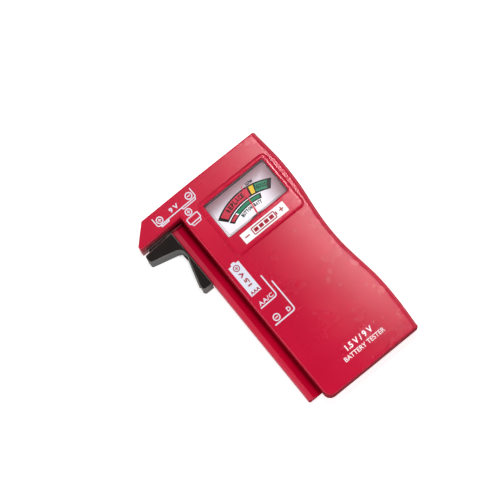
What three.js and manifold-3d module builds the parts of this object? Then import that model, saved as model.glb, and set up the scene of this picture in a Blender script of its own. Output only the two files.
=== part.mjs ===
// Hand-held analogue battery tester: a red two-part casing with a rail for the cells, a black
// sliding arm, a moving-coil meter behind a clear window, and 9 V snap contacts on the head.
// Millimetres, +Z towards the front face, +Y towards the head, +X to the right.
// The casing lies on its back.
import * as THREE from 'three';
import { mergeVertices } from 'three/addons/utils/BufferGeometryUtils.js';
import Module from 'manifold-3d';

const wasm = await Module();
wasm.setup();

// ---------------------------------------------------------------- driving dimensions
// Ranges are [low, high]; places are [x, y] unless noted.
const BODY_BOTTOM = 0.9;      // lower end of the casing
const BODY_TOP = 110.7;       // upper end of the head
const BODY_BOW = 0.1;         // how far the lower end bulges
const WALL = 2.0;             // casing wall
const PART_Z = 8.0;           // plane where the two shells meet
const FRONT_Z = 28.0;         // front face
const DRAFT = 0.6;            // taper of the wavy side over the front shell's depth
const EDGE_R = 0.7;           // rounding of the front face's edge
const SIDE_R = 2.4;           // rounding along the wavy grip side
const BACK_R = 1.3;           // rounding of the back edge
const SHELL_GAP = 0.05;       // between the rear shell and the parting plane

const HEAD_LEFT = -15.7;      // left end of the head
const HEAD_UNDER = 100.8;     // face of the head that the cell's positive end meets
const HEAD_BACK_Z = 6.0;      // back of the head beyond the rail
const HEAD_SLOPE_X = -7.6;    // where the head's slope meets the top
const HEAD_SLOPE_Y = 102.6;   // where it meets the left end

const RAIL_LEFT = 0.0;        // outer wall of the rail
const RAIL_BOTTOM = 5.6;      // lower end of the rail
const RAIL_TOP = 99.7;        // upper end of the rail's lip
const LIP_Z = 12.5;           // front of the rail's lip
const LIP_W = 2.5;            // width of the lip
const TROUGH_X = 6.5;         // foot of the trough's slope
const TROUGH_Z = 8.6;         // floor of the trough
const TROUGH_BACK_Z = TROUGH_Z - 1.4;
const SLOT_Y = [9.0, 98.2];   // guide slot for the sliding arm's foot
const SLOT_Z = 5.5;           // back edge of the slot

const FRAME = { x: [14.8, 52.0], y: [71.6, 100.8], z: 29.1, radius: 2.4 };  // raised, round the meter
const WINDOW = { x: [17.2, 49.6], y: [80.9, 98.5] };
const PLATE = { x: [21.2, 44.7], y: [74.0, 78.9], z: [FRAME.z - 0.3, FRAME.z] };
const LABEL = { x: [16.0, 48.0], y: [34.0, 66.0] };
const WINDOW_GAP = 0.3;
const PLATE_GAP = 0.1;        // round the name plate and the rear label

const METER = { x: [15.6, 51.0], y: [61.2, 99.9], backZ: 8.5, wall: 1.2 };
const PIVOT = [32.5, 73.3];   // meter movement axis
const [PIVOT_X, PIVOT_Y] = PIVOT;
const MAGNET_Z = [12.4, 18.6];
const NEEDLE_LENGTH = 22.8;   // from the axis
const NEEDLE_REST = 7.5;      // degrees right of straight up
const DIAL_Z = 20.9;          // back of the scale plate
const TERMINAL_X = [26, 39];

const NINE_V_X = [1.4, 1.4 + 12.7];
const NINE_V_Z = 17.0;
const CELL_CONTACT_X = [-12.6, 5.4];
const CELL_TAB_X = [-6.0, -2.0];
const RIVET_XZ = [-1.9, 16.2];

const CASE_SCREWS = [[13.5, 8.0], [50.0, 8.0], [50.5, 105.2], [12.9, 95.0]];
const METER_SCREWS = [[19.5, 103.1], [45.3, 103.1], [19.5, 57.6], [45.3, 57.6]];
const BOARD_SCREWS = [[15.0, 25.0], [44.0, 49.0]];
const BOARD_Z = [4.95, 6.55];

// wavy grip side of the casing: [y, x] on the widest line
const SIDE = [
  [2.6, 56.5], [7.8, 56.85], [12.9, 57.13], [18.0, 57.22], [23.2, 57.2], [28.3, 56.92],
  [33.4, 56.36], [38.5, 55.6], [43.7, 54.88], [48.8, 54.32], [53.9, 54.07], [59.1, 54.1],
  [64.2, 54.4], [69.3, 54.91], [74.5, 55.55], [79.6, 56.1], [84.7, 56.36], [89.8, 56.45],
  [95.0, 56.32], [100.1, 55.93], [105.2, 55.46], [108.0, 55.15],
];
const SIDE_MAX = 57.23;

// ---------------------------------------------------------------- solids
const span = (centre, half) => [centre - half, centre + half];
const shrink = ([low, high], amount) => [low + amount, high - amount];

const toSolid = (geometry) => {
  geometry.deleteAttribute('normal');
  geometry.deleteAttribute('uv');
  const merged = mergeVertices(geometry, 1e-4);
  return new wasm.Manifold(new wasm.Mesh({
    numProp: 3,
    vertProperties: new Float32Array(merged.attributes.position.array),
    triVerts: new Uint32Array(merged.index.array),
  }));
};

const toGeometry = (solid) => {
  const mesh = solid.getMesh();
  const geometry = new THREE.BufferGeometry();
  const positions = new Float32Array(mesh.vertProperties);
  geometry.setAttribute('position', new THREE.BufferAttribute(positions, 3));
  geometry.setIndex(new THREE.BufferAttribute(new Uint32Array(mesh.triVerts), 1));
  geometry.computeVertexNormals();
  return geometry;
};

const box = ([x0, x1], [y0, y1], [z0, z1]) => {
  const geometry = new THREE.BoxGeometry(x1 - x0, y1 - y0, z1 - z0);
  geometry.translate((x0 + x1) / 2, (y0 + y1) / 2, (z0 + z1) / 2);
  return toSolid(geometry);
};

// cylinder or cone along an axis; the centre is given on the other two axes, in x, y, z order
const rod = (axis, radius, [start, end], [c1, c2], segments = 20, endRadius = radius) => {
  const geometry = new THREE.CylinderGeometry(endRadius, radius, end - start, segments);
  const middle = (start + end) / 2;
  if (axis === 'z') geometry.rotateX(Math.PI / 2).translate(c1, c2, middle);
  if (axis === 'y') geometry.translate(c1, middle, c2);
  if (axis === 'x') geometry.rotateZ(-Math.PI / 2).translate(middle, c1, c2);
  return toSolid(geometry);
};

// closed surface through rings of equal count, ordered from the back to the front;
// each ring is counter-clockwise seen from +Z
const loftGeometry = (rings) => {
  const count = rings[0].length;
  const indices = [];
  for (let k = 0; k + 1 < rings.length; k++) {
    for (let i = 0; i < count; i++) {
      const a = k * count + i;
      const b = k * count + (i + 1) % count;
      indices.push(a, b, b + count, a, b + count, a + count);
    }
  }
  // a slight warp keeps every point on a straight run in the cap's triangles
  const warp = ([x, y]) => new THREE.Vector2(x + 2e-5 * y * y, y + 3e-5 * x * x);
  const cap = (ring) => THREE.ShapeUtils.triangulateShape(ring.map(warp), []);
  for (const [a, b, c] of cap(rings[0])) indices.push(a, c, b);
  const last = (rings.length - 1) * count;
  for (const triangle of cap(rings.at(-1))) indices.push(...triangle.map((i) => last + i));
  const geometry = new THREE.BufferGeometry();
  geometry.setAttribute('position', new THREE.Float32BufferAttribute(rings.flat(2), 3));
  geometry.setIndex(indices);
  return geometry;
};
const loft = (rings) => toSolid(loftGeometry(rings));

const counterClockwise = (points) => {
  let area = 0;
  points.forEach(([x, y], i) => {
    const [nextX, nextY] = points[(i + 1) % points.length];
    area += x * nextY - nextX * y;
  });
  return area > 0 ? points : points.slice().reverse();
};
const flatRing = (points, z) => counterClockwise(points).map(([x, y]) => [x, y, z]);
const prismZ = (points, levels) => loft(levels.map((z) => flatRing(points, z)));

// prism of an outline in X and Z, drawn along Y
const prismY = (points, [y0, y1]) => {
  const geometry = loftGeometry([0, y1 - y0].map((z) => flatRing(points, z)));
  // turns the outline's second axis to +Z and the depth to -Y
  geometry.rotateX(Math.PI / 2).translate(0, y1, 0);
  return toSolid(geometry);
};

const arcPoints = ([cx, cy], radius, from, to, steps) => (
  Array.from({ length: steps + 1 }, (_, i) => {
    const angle = (from + (to - from) * i / steps) * Math.PI / 180;
    return [cx + radius * Math.cos(angle), cy + radius * Math.sin(angle)];
  }));

const rectangle = ([x0, x1], [y0, y1]) => [[x0, y0], [x1, y0], [x1, y1], [x0, y1]];

const wire = (points, radius, steps, sides = 6) => {
  const stops = points.map((p) => new THREE.Vector3(...p));
  const extrudePath = new THREE.CatmullRomCurve3(stops, false, 'catmullrom');
  const section = Array.from({ length: sides }, (_, i) => {
    const angle = (i / sides) * Math.PI * 2;
    return new THREE.Vector2(radius * Math.cos(angle), radius * Math.sin(angle));
  });
  const shape = new THREE.Shape(section);
  shape.closePath();
  return toSolid(new THREE.ExtrudeGeometry(shape, { steps, bevelEnabled: false, extrudePath }));
};

// Points of a counter-clockwise outline that can be moved inwards.
// Corner columns: x, y, corner radius, draft, fillet at the front edge.
const MIN_R = 0.04;   // radius a rounded corner keeps however far it moves
const outline = (corners, segments = 4) => {
  const points = [];
  corners.forEach(([x, y, radius = 0, draft = 0, fillet = EDGE_R], i) => {
    const [beforeX, beforeY] = corners.at(i - 1);
    const [afterX, afterY] = corners[(i + 1) % corners.length];
    const arriving = new THREE.Vector2(x - beforeX, y - beforeY).normalize();
    const leaving = new THREE.Vector2(afterX - x, afterY - y).normalize();
    const inward = new THREE.Vector2(-arriving.y, arriving.x);
    const nextInward = new THREE.Vector2(-leaving.y, leaving.x);
    const mitre = inward.clone().add(nextInward).normalize();
    mitre.multiplyScalar(1 / Math.max(0.3, mitre.dot(inward)));
    const alongMitre = (distance) => [x + mitre.x * distance, y + mitre.y * distance];
    const turn = arriving.cross(leaving);
    if (radius < 0.05 || turn <= 1e-3) {
      points.push({ draft, fillet, inset: alongMitre });
      return;
    }
    const [centreX, centreY] = alongMitre(radius);
    const start = Math.atan2(-inward.y, -inward.x);
    const sweep = Math.atan2(turn, arriving.dot(leaving));
    for (let j = 0; j <= segments; j++) {
      const angle = start + sweep * j / segments;
      const inset = (distance) => {
        const arc = Math.max(radius - distance, MIN_R);
        const past = Math.max(distance - (radius - MIN_R), 0);
        return [
          centreX + mitre.x * past + Math.cos(angle) * arc,
          centreY + mitre.y * past + Math.sin(angle) * arc,
        ];
      };
      points.push({ draft, fillet, inset });
    }
  });
  return points;
};

// loft of one outline through stations of [inset, z]
const loftInsets = (points, stations) => (
  loft(stations.map(([inset, z]) => points.map((p) => [...p.inset(inset), z]))));

// ---------------------------------------------------------------- casing outlines
// from the lower left round the right to the top: x, y, radius, draft
const CASE_CORNERS = [
  [7.0, BODY_BOTTOM, 3.6],
  [30, BODY_BOTTOM - BODY_BOW],
  [SIDE_MAX + 1, BODY_BOTTOM],
  [SIDE_MAX + 1, 90],
  [56.6, 96],
  [55.02, BODY_TOP - 0.35, 2.4, 0.15],
  [20.0, BODY_TOP, 0, 0.15],
];
const SLOPE_CORNERS = [
  [HEAD_SLOPE_X, BODY_TOP - 0.1, 1.0, 0.15],
  [HEAD_LEFT, HEAD_SLOPE_Y, 0.8, 0.15],
];
// the wavy side, run on past both ends, trims the casing and carries the large rounding
const sideTrim = outline([
  [-60, -30, 0, 0, SIDE_R],
  [55.6, -30, 0, DRAFT, SIDE_R],
  ...SIDE.map(([y, x]) => [x, y, 0, DRAFT, SIDE_R]),
  [54.2, 150, 0, DRAFT, SIDE_R],
  [-60, 150, 0, 0, SIDE_R],
]);

const INNER_BOTTOM = BODY_BOTTOM + WALL;
const INNER_TOP = BODY_TOP - WALL - 0.1;
const innerSide = (wall) => SIDE.slice(1)
  .map(([y, x], i) => [x - wall, i ? y : INNER_BOTTOM])
  .filter(([, y]) => y < 103);

// from the parting plane to the front face, with the edge rounded over
const roundedFront = (points, steps, shiftZ = 0) => {
  const rings = [points.map((p) => [...p.inset(0), PART_Z])];
  for (let k = 0; k <= steps; k++) {
    const angle = (k / steps) * Math.PI / 2;
    rings.push(points.map((p) => [
      ...p.inset(p.draft + p.fillet * (1 - Math.cos(angle))),
      FRONT_Z - p.fillet * (1 - Math.sin(angle)) + shiftZ,
    ]));
  }
  return loft(rings);
};

// from the rounded back edge to the given front level
const roundedBack = (points, frontZ, shiftZ = 0) => {
  const stations = [];
  for (let k = 0; k <= 3; k++) {
    const angle = (k / 3) * Math.PI / 2;
    stations.push([BACK_R * (1 - Math.sin(angle)), BACK_R * (1 - Math.cos(angle)) + shiftZ]);
  }
  return loftInsets(points, [...stations, [0, frontZ]]);
};

// ---------------------------------------------------------------- front shell
const hollowFrontBody = () => {
  const outer = outline([
    ...CASE_CORNERS,
    ...SLOPE_CORNERS,
    [HEAD_LEFT, HEAD_UNDER, 0.3, 0.15],
    [6.3, HEAD_UNDER, 0, 0.35, 1.0],
  ]);
  const inner = outline([
    [9.1, INNER_BOTTOM, 1.6],
    ...innerSide(WALL + 0.1),
    [52.9, BODY_TOP - WALL - 0.3],
    [-6.8, INNER_TOP],
    [-12.4, HEAD_UNDER + WALL],
    [8.4, HEAD_UNDER + WALL],
  ]);
  const hollow = loftInsets(inner, [
    [0, PART_Z - 0.5],
    [DRAFT * 0.8, FRONT_Z - WALL - 1.2],
    [DRAFT + 0.7, FRONT_Z - WALL],
  ]);
  // the small shift keeps the two front faces from coinciding
  return roundedFront(outer, 4).intersect(roundedFront(sideTrim, 5, 0.02)).subtract(hollow);
};

const addRail = (shell) => {
  const innerWall = [
    [7.0, RAIL_BOTTOM], [9.2, RAIL_BOTTOM], [8.6, RAIL_TOP + 1.2], [6.3, RAIL_TOP + 1.2],
  ];
  // the profiles below are in X and Z
  const lipAndTrough = [
    [RAIL_LEFT, PART_Z], [RAIL_LEFT, LIP_Z - 0.4], [RAIL_LEFT + 0.4, LIP_Z],
    [LIP_W - 0.15, LIP_Z], [LIP_W + 0.1, LIP_Z - 0.3],
    [TROUGH_X, TROUGH_Z], [8.8, TROUGH_Z], [8.8, TROUGH_BACK_Z], [5.66, TROUGH_BACK_Z],
    [1.6, 11.21], [1.6, PART_Z],
  ];
  const lowerEnd = [[0, PART_Z], [0, LIP_Z - 0.4], [0.4, LIP_Z], [LIP_W, LIP_Z], [4.9, PART_Z]];
  const upperEnd = [
    [0.2, PART_Z], [0.2, LIP_Z - 0.4], [0.5, LIP_Z - 0.1], [LIP_W - 0.1, LIP_Z - 0.1],
    [4.7, PART_Z],
  ];
  const lowerStep = [
    [-2, LIP_Z - 2.2], [-2, LIP_Z + 1], [LIP_W + 2, LIP_Z + 1], [LIP_W + 2, LIP_Z - 0.6],
    [0.2, LIP_Z - 0.6],
  ];
  return shell
    .add(prismZ(innerWall, [TROUGH_BACK_Z, PART_Z + 0.5]))
    .add(prismY(lipAndTrough, [RAIL_BOTTOM, RAIL_TOP]))
    .add(prismY(lowerEnd, [RAIL_BOTTOM, RAIL_BOTTOM + 1.5]))
    .add(prismY(upperEnd, [RAIL_TOP - 1.5, HEAD_UNDER + 0.5]))
    .subtract(prismY(lowerStep, [RAIL_BOTTOM - 1, RAIL_BOTTOM + 0.7]));
};

const addMeterFrame = (shell) => {
  const corners = rectangle(FRAME.x, FRAME.y).map((corner) => [...corner, FRAME.radius]);
  const frame = loftInsets(outline(corners, 5), [
    [0, FRONT_Z - 1], [0, FRAME.z - 0.5], [0.15, FRAME.z - 0.15], [0.5, FRAME.z],
  ]);
  const plateX = shrink(PLATE.x, -PLATE_GAP);
  const plateY = shrink(PLATE.y, -PLATE_GAP);
  return shell.add(frame)
    .subtract(box(WINDOW.x, WINDOW.y, [FRONT_Z - 4, FRAME.z + 1]))
    .subtract(box(plateX, plateY, [PLATE.z[0], FRAME.z + 1]));
};

const makeFrontShell = () => {
  let shell = addMeterFrame(addRail(hollowFrontBody()));
  for (const at of CASE_SCREWS) {
    shell = shell.add(rod('z', 2.4, [PART_Z + 0.2, FRONT_Z - 1.5], at))
      .subtract(rod('z', 1.45, [PART_Z - 1, 22], at));
  }
  for (const at of METER_SCREWS) {
    shell = shell.add(rod('z', 2.4, [13.1, FRONT_Z - 1.5], at, 16))
      .subtract(rod('z', 0.95, [12, 22], at, 16));
  }
  // recess for the cell contact and slot for its tab
  const recessX = shrink(CELL_CONTACT_X, -0.2);
  const tabX = shrink(CELL_TAB_X, -0.2);
  shell = shell.subtract(box(recessX, [HEAD_UNDER - 1, HEAD_UNDER + 0.35], [12.8, 17.9]))
    .subtract(box(tabX, [HEAD_UNDER - 1, HEAD_UNDER + 3], [15.8, 17.0]));
  for (const x of NINE_V_X) {
    const at = [x, NINE_V_Z];
    shell = shell.subtract(rod('y', 3.6, [BODY_TOP - 0.75, BODY_TOP + 1], at, 28))
      .subtract(rod('y', 1.35, [BODY_TOP - 4, BODY_TOP + 1], at, 16));
  }
  return shell;
};

// ---------------------------------------------------------------- rear shell
const hollowRearBody = () => {
  const headY = BODY_TOP - 0.07;
  const frontZ = PART_Z - SHELL_GAP;
  const outer = outline([
    [RAIL_LEFT, RAIL_BOTTOM, 0.8],
    [7.0, RAIL_BOTTOM],
    ...CASE_CORNERS,
    [RAIL_LEFT, headY, 0.8],
  ]);
  const headPlate = outline([
    [HEAD_LEFT, HEAD_UNDER, 0.5], [1.5, HEAD_UNDER], [1.5, headY], ...SLOPE_CORNERS,
  ]);
  const innerLeft = RAIL_LEFT + 1.8;
  const innerRailBottom = RAIL_BOTTOM + 1.6;
  const inner = outline([
    [innerLeft, innerRailBottom],
    [9.1, innerRailBottom],
    [9.1, INNER_BOTTOM],
    ...innerSide(WALL),
    [52.9, BODY_TOP - WALL - 0.3],
    [innerLeft, INNER_TOP],
  ]);
  return roundedBack(outer, frontZ)
    .intersect(roundedBack(sideTrim, PART_Z + 1, -0.02))
    .add(loftInsets(headPlate, [
      [0.6, HEAD_BACK_Z], [0.18, HEAD_BACK_Z + 0.18], [0, HEAD_BACK_Z + 0.6], [0, frontZ],
    ]))
    .subtract(loftInsets(inner, [[0.3, WALL], [0, WALL + 0.5], [0, PART_Z + 1]]));
};

const makeRearShell = () => {
  // keeps clear of the trough, and is open along the guide slot
  const troughRoom = [
    [2.4, PART_Z + 1.3], [5.56, TROUGH_BACK_Z - 0.15], [9.4, TROUGH_BACK_Z - 0.15],
    [9.4, PART_Z + 1.3],
  ];
  let shell = hollowRearBody()
    .subtract(prismY(troughRoom, [RAIL_BOTTOM - 1, RAIL_TOP + 0.9]))
    .subtract(box([-1, WALL + 0.3], SLOT_Y, [SLOT_Z, PART_Z + 1]));
  for (const at of CASE_SCREWS) {
    shell = shell.add(rod('z', 3.4, [1.0, PART_Z - 0.1], at))
      .subtract(rod('z', 1.7, [-1, PART_Z + 1], at))
      .subtract(rod('z', 2.8, [-1, 4.2], at));
  }
  for (const at of BOARD_SCREWS) {
    shell = shell.add(rod('z', 2.4, [1.0, BOARD_Z[0] - 0.05], at, 16))
      .subtract(rod('z', 0.9, [2.6, 6], at, 16));
  }
  const labelX = shrink(LABEL.x, -PLATE_GAP);
  const labelY = shrink(LABEL.y, -PLATE_GAP);
  shell = shell.subtract(box(labelX, labelY, [-1, 0.35]));
  // row of shallow grooves across the back
  for (let k = 0; k < 6; k++) {
    const y = 80.0 + 2.6 * k;
    shell = shell.subtract(box([20.0, 50.0], [y, y + 1.2], [-1, 0.5]));
  }
  return shell;
};

// ---------------------------------------------------------------- sliding arm
// raised grip ridges down the arm's left edge
const gripRidges = () => {
  const [startX, startY] = [-1.35, 86.6];
  const [endX, endY] = [-5.05, 74.4];
  const count = 8;
  const height = 0.42;
  const stepX = (endX - startX) / count;
  const stepY = (endY - startY) / count;
  const pitch = Math.hypot(stepX, stepY);
  const outX = stepY / pitch * height;
  const outY = -stepX / pitch * height;
  // [share of the pitch, raised or not]
  const profile = [[0, 0], [0.18, 1], [0.55, 1], [0.73, 0]];
  return Array.from({ length: count }, (_, k) => profile.map(([share, raised]) => [
    startX + stepX * (k + share) + outX * raised,
    startY + stepY * (k + share) + outY * raised,
  ])).flat();
};

const makeArm = () => {
  const body = [
    [-0.4, 99.45], [-2.6, 99.3],
    ...arcPoints([-14.6, 97.6], 1.1, 86, 180, 5),
    [-15.67, 96.04], [-15.2, 95.2], [-3.6, 91.9], [-2.2, 91.2], [-1.35, 90.2], [-1.1, 88.9],
    [-1.2, 87.7],
    ...gripRidges(),
    ...arcPoints([-3.9, 72.45], 1.35, 190, 270, 4),
    [-0.4, 71.1],
  ];
  const upperHollow = [[-2.4, 97.3], [-12.8, 96.7], [-12.9, 96.3], [-2.4, 93.3]];
  const lowerHollow = [[-2.0, 86.0], [-3.4, 76.4], [-2.0, 75.0]];
  const footY = [74.0, 96.6];
  return prismZ(body, [1.0, 20.0])
    // pad under the contact leaf
    .add(box([-3.2, -0.4], [97.0, 99.6], [13.0, 19.5]))
    .subtract(prismZ(upperHollow, [-1, 12.0]))
    .subtract(prismZ(lowerHollow, [-1, 12.0]))
    // foot through the guide slot, with a flange inside it
    .add(box([-0.6, 2.2], footY, [5.8, 7.7]))
    .add(box([1.95, 3.15], footY, [3.3, 7.5]))
    .subtract(rod('y', 0.65, [96.2, 100], RIVET_XZ, 14));
};

// thin leaf: free end to the left, tongue over the rail's lip and into the trough to the right
const makeLeaf = () => prismY([
  [-12.6, 13.4], [-12.9, 13.9], [-12.9, 18.9], [-12.5, 19.4], [4.9, 19.4], [5.6, 18.9],
  [5.6, 10.4], [5.25, 10.5], [2.9, 12.95], [2.6, 13.1], [-2.6, 13.1], [-3.2, 13.4],
], [99.6, 99.95]).subtract(rod('y', 0.7, [99, 101], RIVET_XZ, 14));

const makeRivet = () => rod('y', 0.6, [96.4, 99.97], RIVET_XZ, 14)
  .add(rod('y', 1.15, [99.96, 100.14], RIVET_XZ, 14, 0.9));

const makeWiper = () => box([1.98, 3.1], [75, 95], [2.95, 3.2])
  .add(box([2.2, 2.95], [83, 87], [2.62, 3.0]));

// ---------------------------------------------------------------- electrical contacts
const makeBusStrip = () => box([2.1, 4.3], [12.0, 96.5], [2.05, 2.5])
  .add(box([3.4, 4.3], [96.0, 104.0], [2.05, 2.5]));

const makeCellContact = () => (
  box(CELL_CONTACT_X, [HEAD_UNDER, HEAD_UNDER + 0.3], [13.0, 17.7])
    .add(box(CELL_TAB_X, [HEAD_UNDER + 0.1, HEAD_UNDER + 5.0], [16.2, 16.6])));

const makeNineVoltContact = (x) => {
  const at = [x, NINE_V_Z];
  return rod('y', 3.3, [BODY_TOP - 0.7, BODY_TOP - 0.2], at, 28)
    .add(rod('y', 1.2, [BODY_TOP - 5.2, BODY_TOP - 0.5], at, 16))
    .subtract(rod('y', 1.5, [BODY_TOP - 0.35, BODY_TOP], at, 18, 1.8));
};

// ---------------------------------------------------------------- meter
const METER_INNER_X = shrink(METER.x, METER.wall);
const METER_INNER_Y = shrink(METER.y, METER.wall);

const makeMeterCase = () => {
  let solid = box(METER.x, METER.y, [METER.backZ, 20.8])
    .subtract(box(METER_INNER_X, METER_INNER_Y, [METER.backZ + METER.wall, 22]));
  const earZ = [11, 12.8];
  for (const at of METER_SCREWS) {
    const [x, y] = at;
    const earY = y > PIVOT_Y ? [99.5, y] : [y, 61.6];
    solid = solid.add(box(span(x, 2.4), earY, earZ))
      .add(rod('z', 2.4, earZ, at, 16))
      .subtract(rod('z', 1.15, [10, 14], at, 16));
  }
  solid = solid.subtract(rod('z', 1.45, [8, 10.5], PIVOT, 16));
  for (const x of TERMINAL_X) solid = solid.subtract(box(span(x, 1.3), [63.4, 64.6], [8, 10]));
  return solid;
};

// scale plate with an arched notch in its lower edge
const makeDial = () => {
  const centre = [33.0, 67.4];
  const [left, right] = span(centre[0], 9.64);
  const notch = [...arcPoints(centre, 15.0, 50, 130, 16), [left, 70], [right, 70]];
  const y = [78.9, METER_INNER_Y[1] - 0.1];
  return box(shrink(METER_INNER_X, 0.1), y, [DIAL_Z, DIAL_Z + 0.4])
    .subtract(prismZ(notch, span(DIAL_Z, 1)));
};

// clear window: a shallow cup with a rim that sits behind the casing's front wall
const makeWindow = () => {
  const ring = ([inset, z]) => {
    const edge = WINDOW_GAP + inset;
    return flatRing(rectangle(shrink(WINDOW.x, edge), shrink(WINDOW.y, edge)), z);
  };
  return loft([[0, 24.9], [0, 27.5], [0.25, 27.75]].map(ring))
    .add(box([16.2, 50.4], [80.0, 99.1], [24.9, 25.8]))
    .subtract(box(shrink(WINDOW.x, 1.3), shrink(WINDOW.y, 1.3), [24, 26.7]));
};

const pivotRod = (radius, levels, segments, endRadius) => (
  rod('z', radius, levels, PIVOT, segments, endRadius));
// box centred on the axis in X, and in Y unless a range is given
const pivotBox = (halfX, halfY, levels) => (
  box(span(PIVOT_X, halfX), span(PIVOT_Y, halfY), levels));

const makeYoke = () => pivotRod(9.0, MAGNET_Z, 32)
  .subtract(pivotRod(6.3, shrink(MAGNET_Z, -1), 32));

// side is 1 above the core, -1 below it
const makeSpacer = (side) => (
  box(span(PIVOT_X, 1.1), span(PIVOT_Y + side * 5.05, 1), [13.0, 18.0]));

const makeYokeSeat = () => (
  box(span(PIVOT_X, 1.8), [PIVOT_Y - 8.6, PIVOT_Y - 6.6], [9.72, MAGNET_Z[0] - 0.05]));

const makeCoil = () => pivotBox(5.5, 1.1, [11.6, 19.4])
  .subtract(pivotBox(4.5, 2, [12.3, 18.7]));

const makeUpperStaff = () => pivotRod(0.45, [19.4, 23.4], 12)
  .add(pivotRod(0.45, [23.35, 23.9], 12, 0.12));

const makeLowerStaff = () => pivotRod(0.45, [10.7, 11.6], 12)
  .add(pivotRod(0.12, [10.1, 10.75], 12, 0.45));

const makeHairspring = (z) => {
  const points = [];
  for (let i = 0; i <= 44; i++) {
    const angle = i * Math.PI / 8;
    const radius = 1.1 + 2.3 * i / 44;
    points.push([PIVOT_X + radius * Math.cos(angle), PIVOT_Y + radius * Math.sin(angle), z]);
  }
  return wire(points, 0.13, 66, 4);
};

const makePointer = () => {
  const angle = (90 - NEEDLE_REST) * Math.PI / 180;
  const ux = Math.cos(angle);
  const uy = Math.sin(angle);
  // [distance along the needle, half width], mirrored about the needle's line
  const strip = (stations, levels) => {
    const place = ([along, across]) => [
      PIVOT_X + ux * along - uy * across,
      PIVOT_Y + uy * along + ux * across,
    ];
    const mirrored = stations.map(([along, half]) => [along, -half]).reverse();
    return prismZ([...stations, ...mirrored].map(place), levels);
  };
  return strip([[0.6, 0.42], [8, 0.36], [NEEDLE_LENGTH, 0.16]], [22.45, 22.7])
    .add(strip([[-0.6, 0.35], [-4.2, 0.35], [-4.2, 0.9], [-5.6, 0.9]], [22.35, 22.8]))
    .add(pivotRod(1.2, [22.1, 23.0], 18))
    .subtract(pivotRod(0.5, [21, 24], 12));
};

const makeBridge = () => {
  let bridge = pivotBox(8.6, 1.6, [24.0, 24.8]);
  for (const side of [-1, 1]) {
    const legX = span(PIVOT_X + side * 7.9, 0.7);
    bridge = bridge.add(box(legX, span(PIVOT_Y, 1.6), [MAGNET_Z[1] + 0.05, 24.4]));
  }
  return bridge.subtract(pivotRod(1.15, [23, 26], 16));
};

// bearings with a conical seat for the staff and a slot across the outer end
const makeUpperBearing = () => pivotRod(1.1, [23.45, 25.3], 16)
  .subtract(pivotRod(0.62, [23, 24.1], 12, 0.2))
  .subtract(pivotBox(1.4, 0.18, [24.95, 26]));

const makeLowerBearing = () => pivotRod(1.4, [7.9, 10.3], 16)
  .subtract(pivotRod(0.2, [9.85, 11], 12, 0.62))
  .subtract(pivotBox(2, 0.18, [7, 8.3]));

const makeTerminal = (x) => box(span(x, 1.2), [63.5, 64.5], [5.6, 11.4]);

// ---------------------------------------------------------------- electronics
const makeBoard = () => BOARD_SCREWS.reduce(
  (board, at) => board.subtract(rod('z', 1.2, [4, 8], at, 16)),
  box([11.5, 47.5], [21.0, 53.0], BOARD_Z),
);

// body along X between two bent leads
const makeResistor = (y, radius, [x0, x1]) => {
  const z = BOARD_Z[1] + 0.2 + radius;
  const leadRadius = 0.3;
  const reach = 2.4;
  let solid = rod('x', radius, [x0, x1], [y, z], 16)
    .add(rod('x', leadRadius, [x0 - reach, x0 + 0.5], [y, z], 8))
    .add(rod('x', leadRadius, [x1 - 0.5, x1 + reach], [y, z], 8));
  for (const x of [x0 - reach, x1 + reach]) {
    solid = solid.add(rod('z', leadRadius, [6.6, z + 0.2], [x, y], 8));
  }
  return solid;
};

const makeTrimmer = () => rod('z', 3.1, [6.6, 9.4], [38.0, 40.0])
  .subtract(box([36.2, 39.8], [39.6, 40.4], [8.8, 10]));

// ---------------------------------------------------------------- screws
const crossRecess = ([x, y], reach, half, levels) => (
  box(span(x, reach), span(y, half), levels).add(box(span(x, half), span(y, reach), levels)));

// driven from the back, with the point to the front
const makeScrew = (at, { backZ, tipZ, headRadius, shankRadius, headHeight }) => (
  rod('z', headRadius * 0.8, [backZ, backZ + 0.5], at, 20, headRadius)
    .add(rod('z', headRadius, [backZ + 0.5, backZ + headHeight], at))
    .add(rod('z', shankRadius, [backZ + headHeight - 0.2, tipZ - 1], at, 14))
    .add(rod('z', shankRadius, [tipZ - 1.01, tipZ], at, 14, 0.25))
    .subtract(crossRecess(at, headRadius * 0.62, 0.3, [backZ - 1, backZ + 0.9])));

const METER_SCREW = {
  backZ: 9.2, tipZ: 20.5, headRadius: 1.9, shankRadius: 0.85, headHeight: 1.7,
};
const CASE_SCREW = { backZ: 2.0, tipZ: 19, headRadius: 2.6, shankRadius: 1.3, headHeight: 2.1 };

// driven from the front: its head lies on the board
const makeBoardScrew = (at) => rod('z', 0.7, [3.0, 6.75], at, 12)
  .add(rod('z', 1.9, [6.65, 7.5], at, 18))
  .add(rod('z', 1.9, [7.49, 8.0], at, 18, 1.3))
  .subtract(crossRecess(at, 1.2, 0.25, [7.3, 9]));

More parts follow.
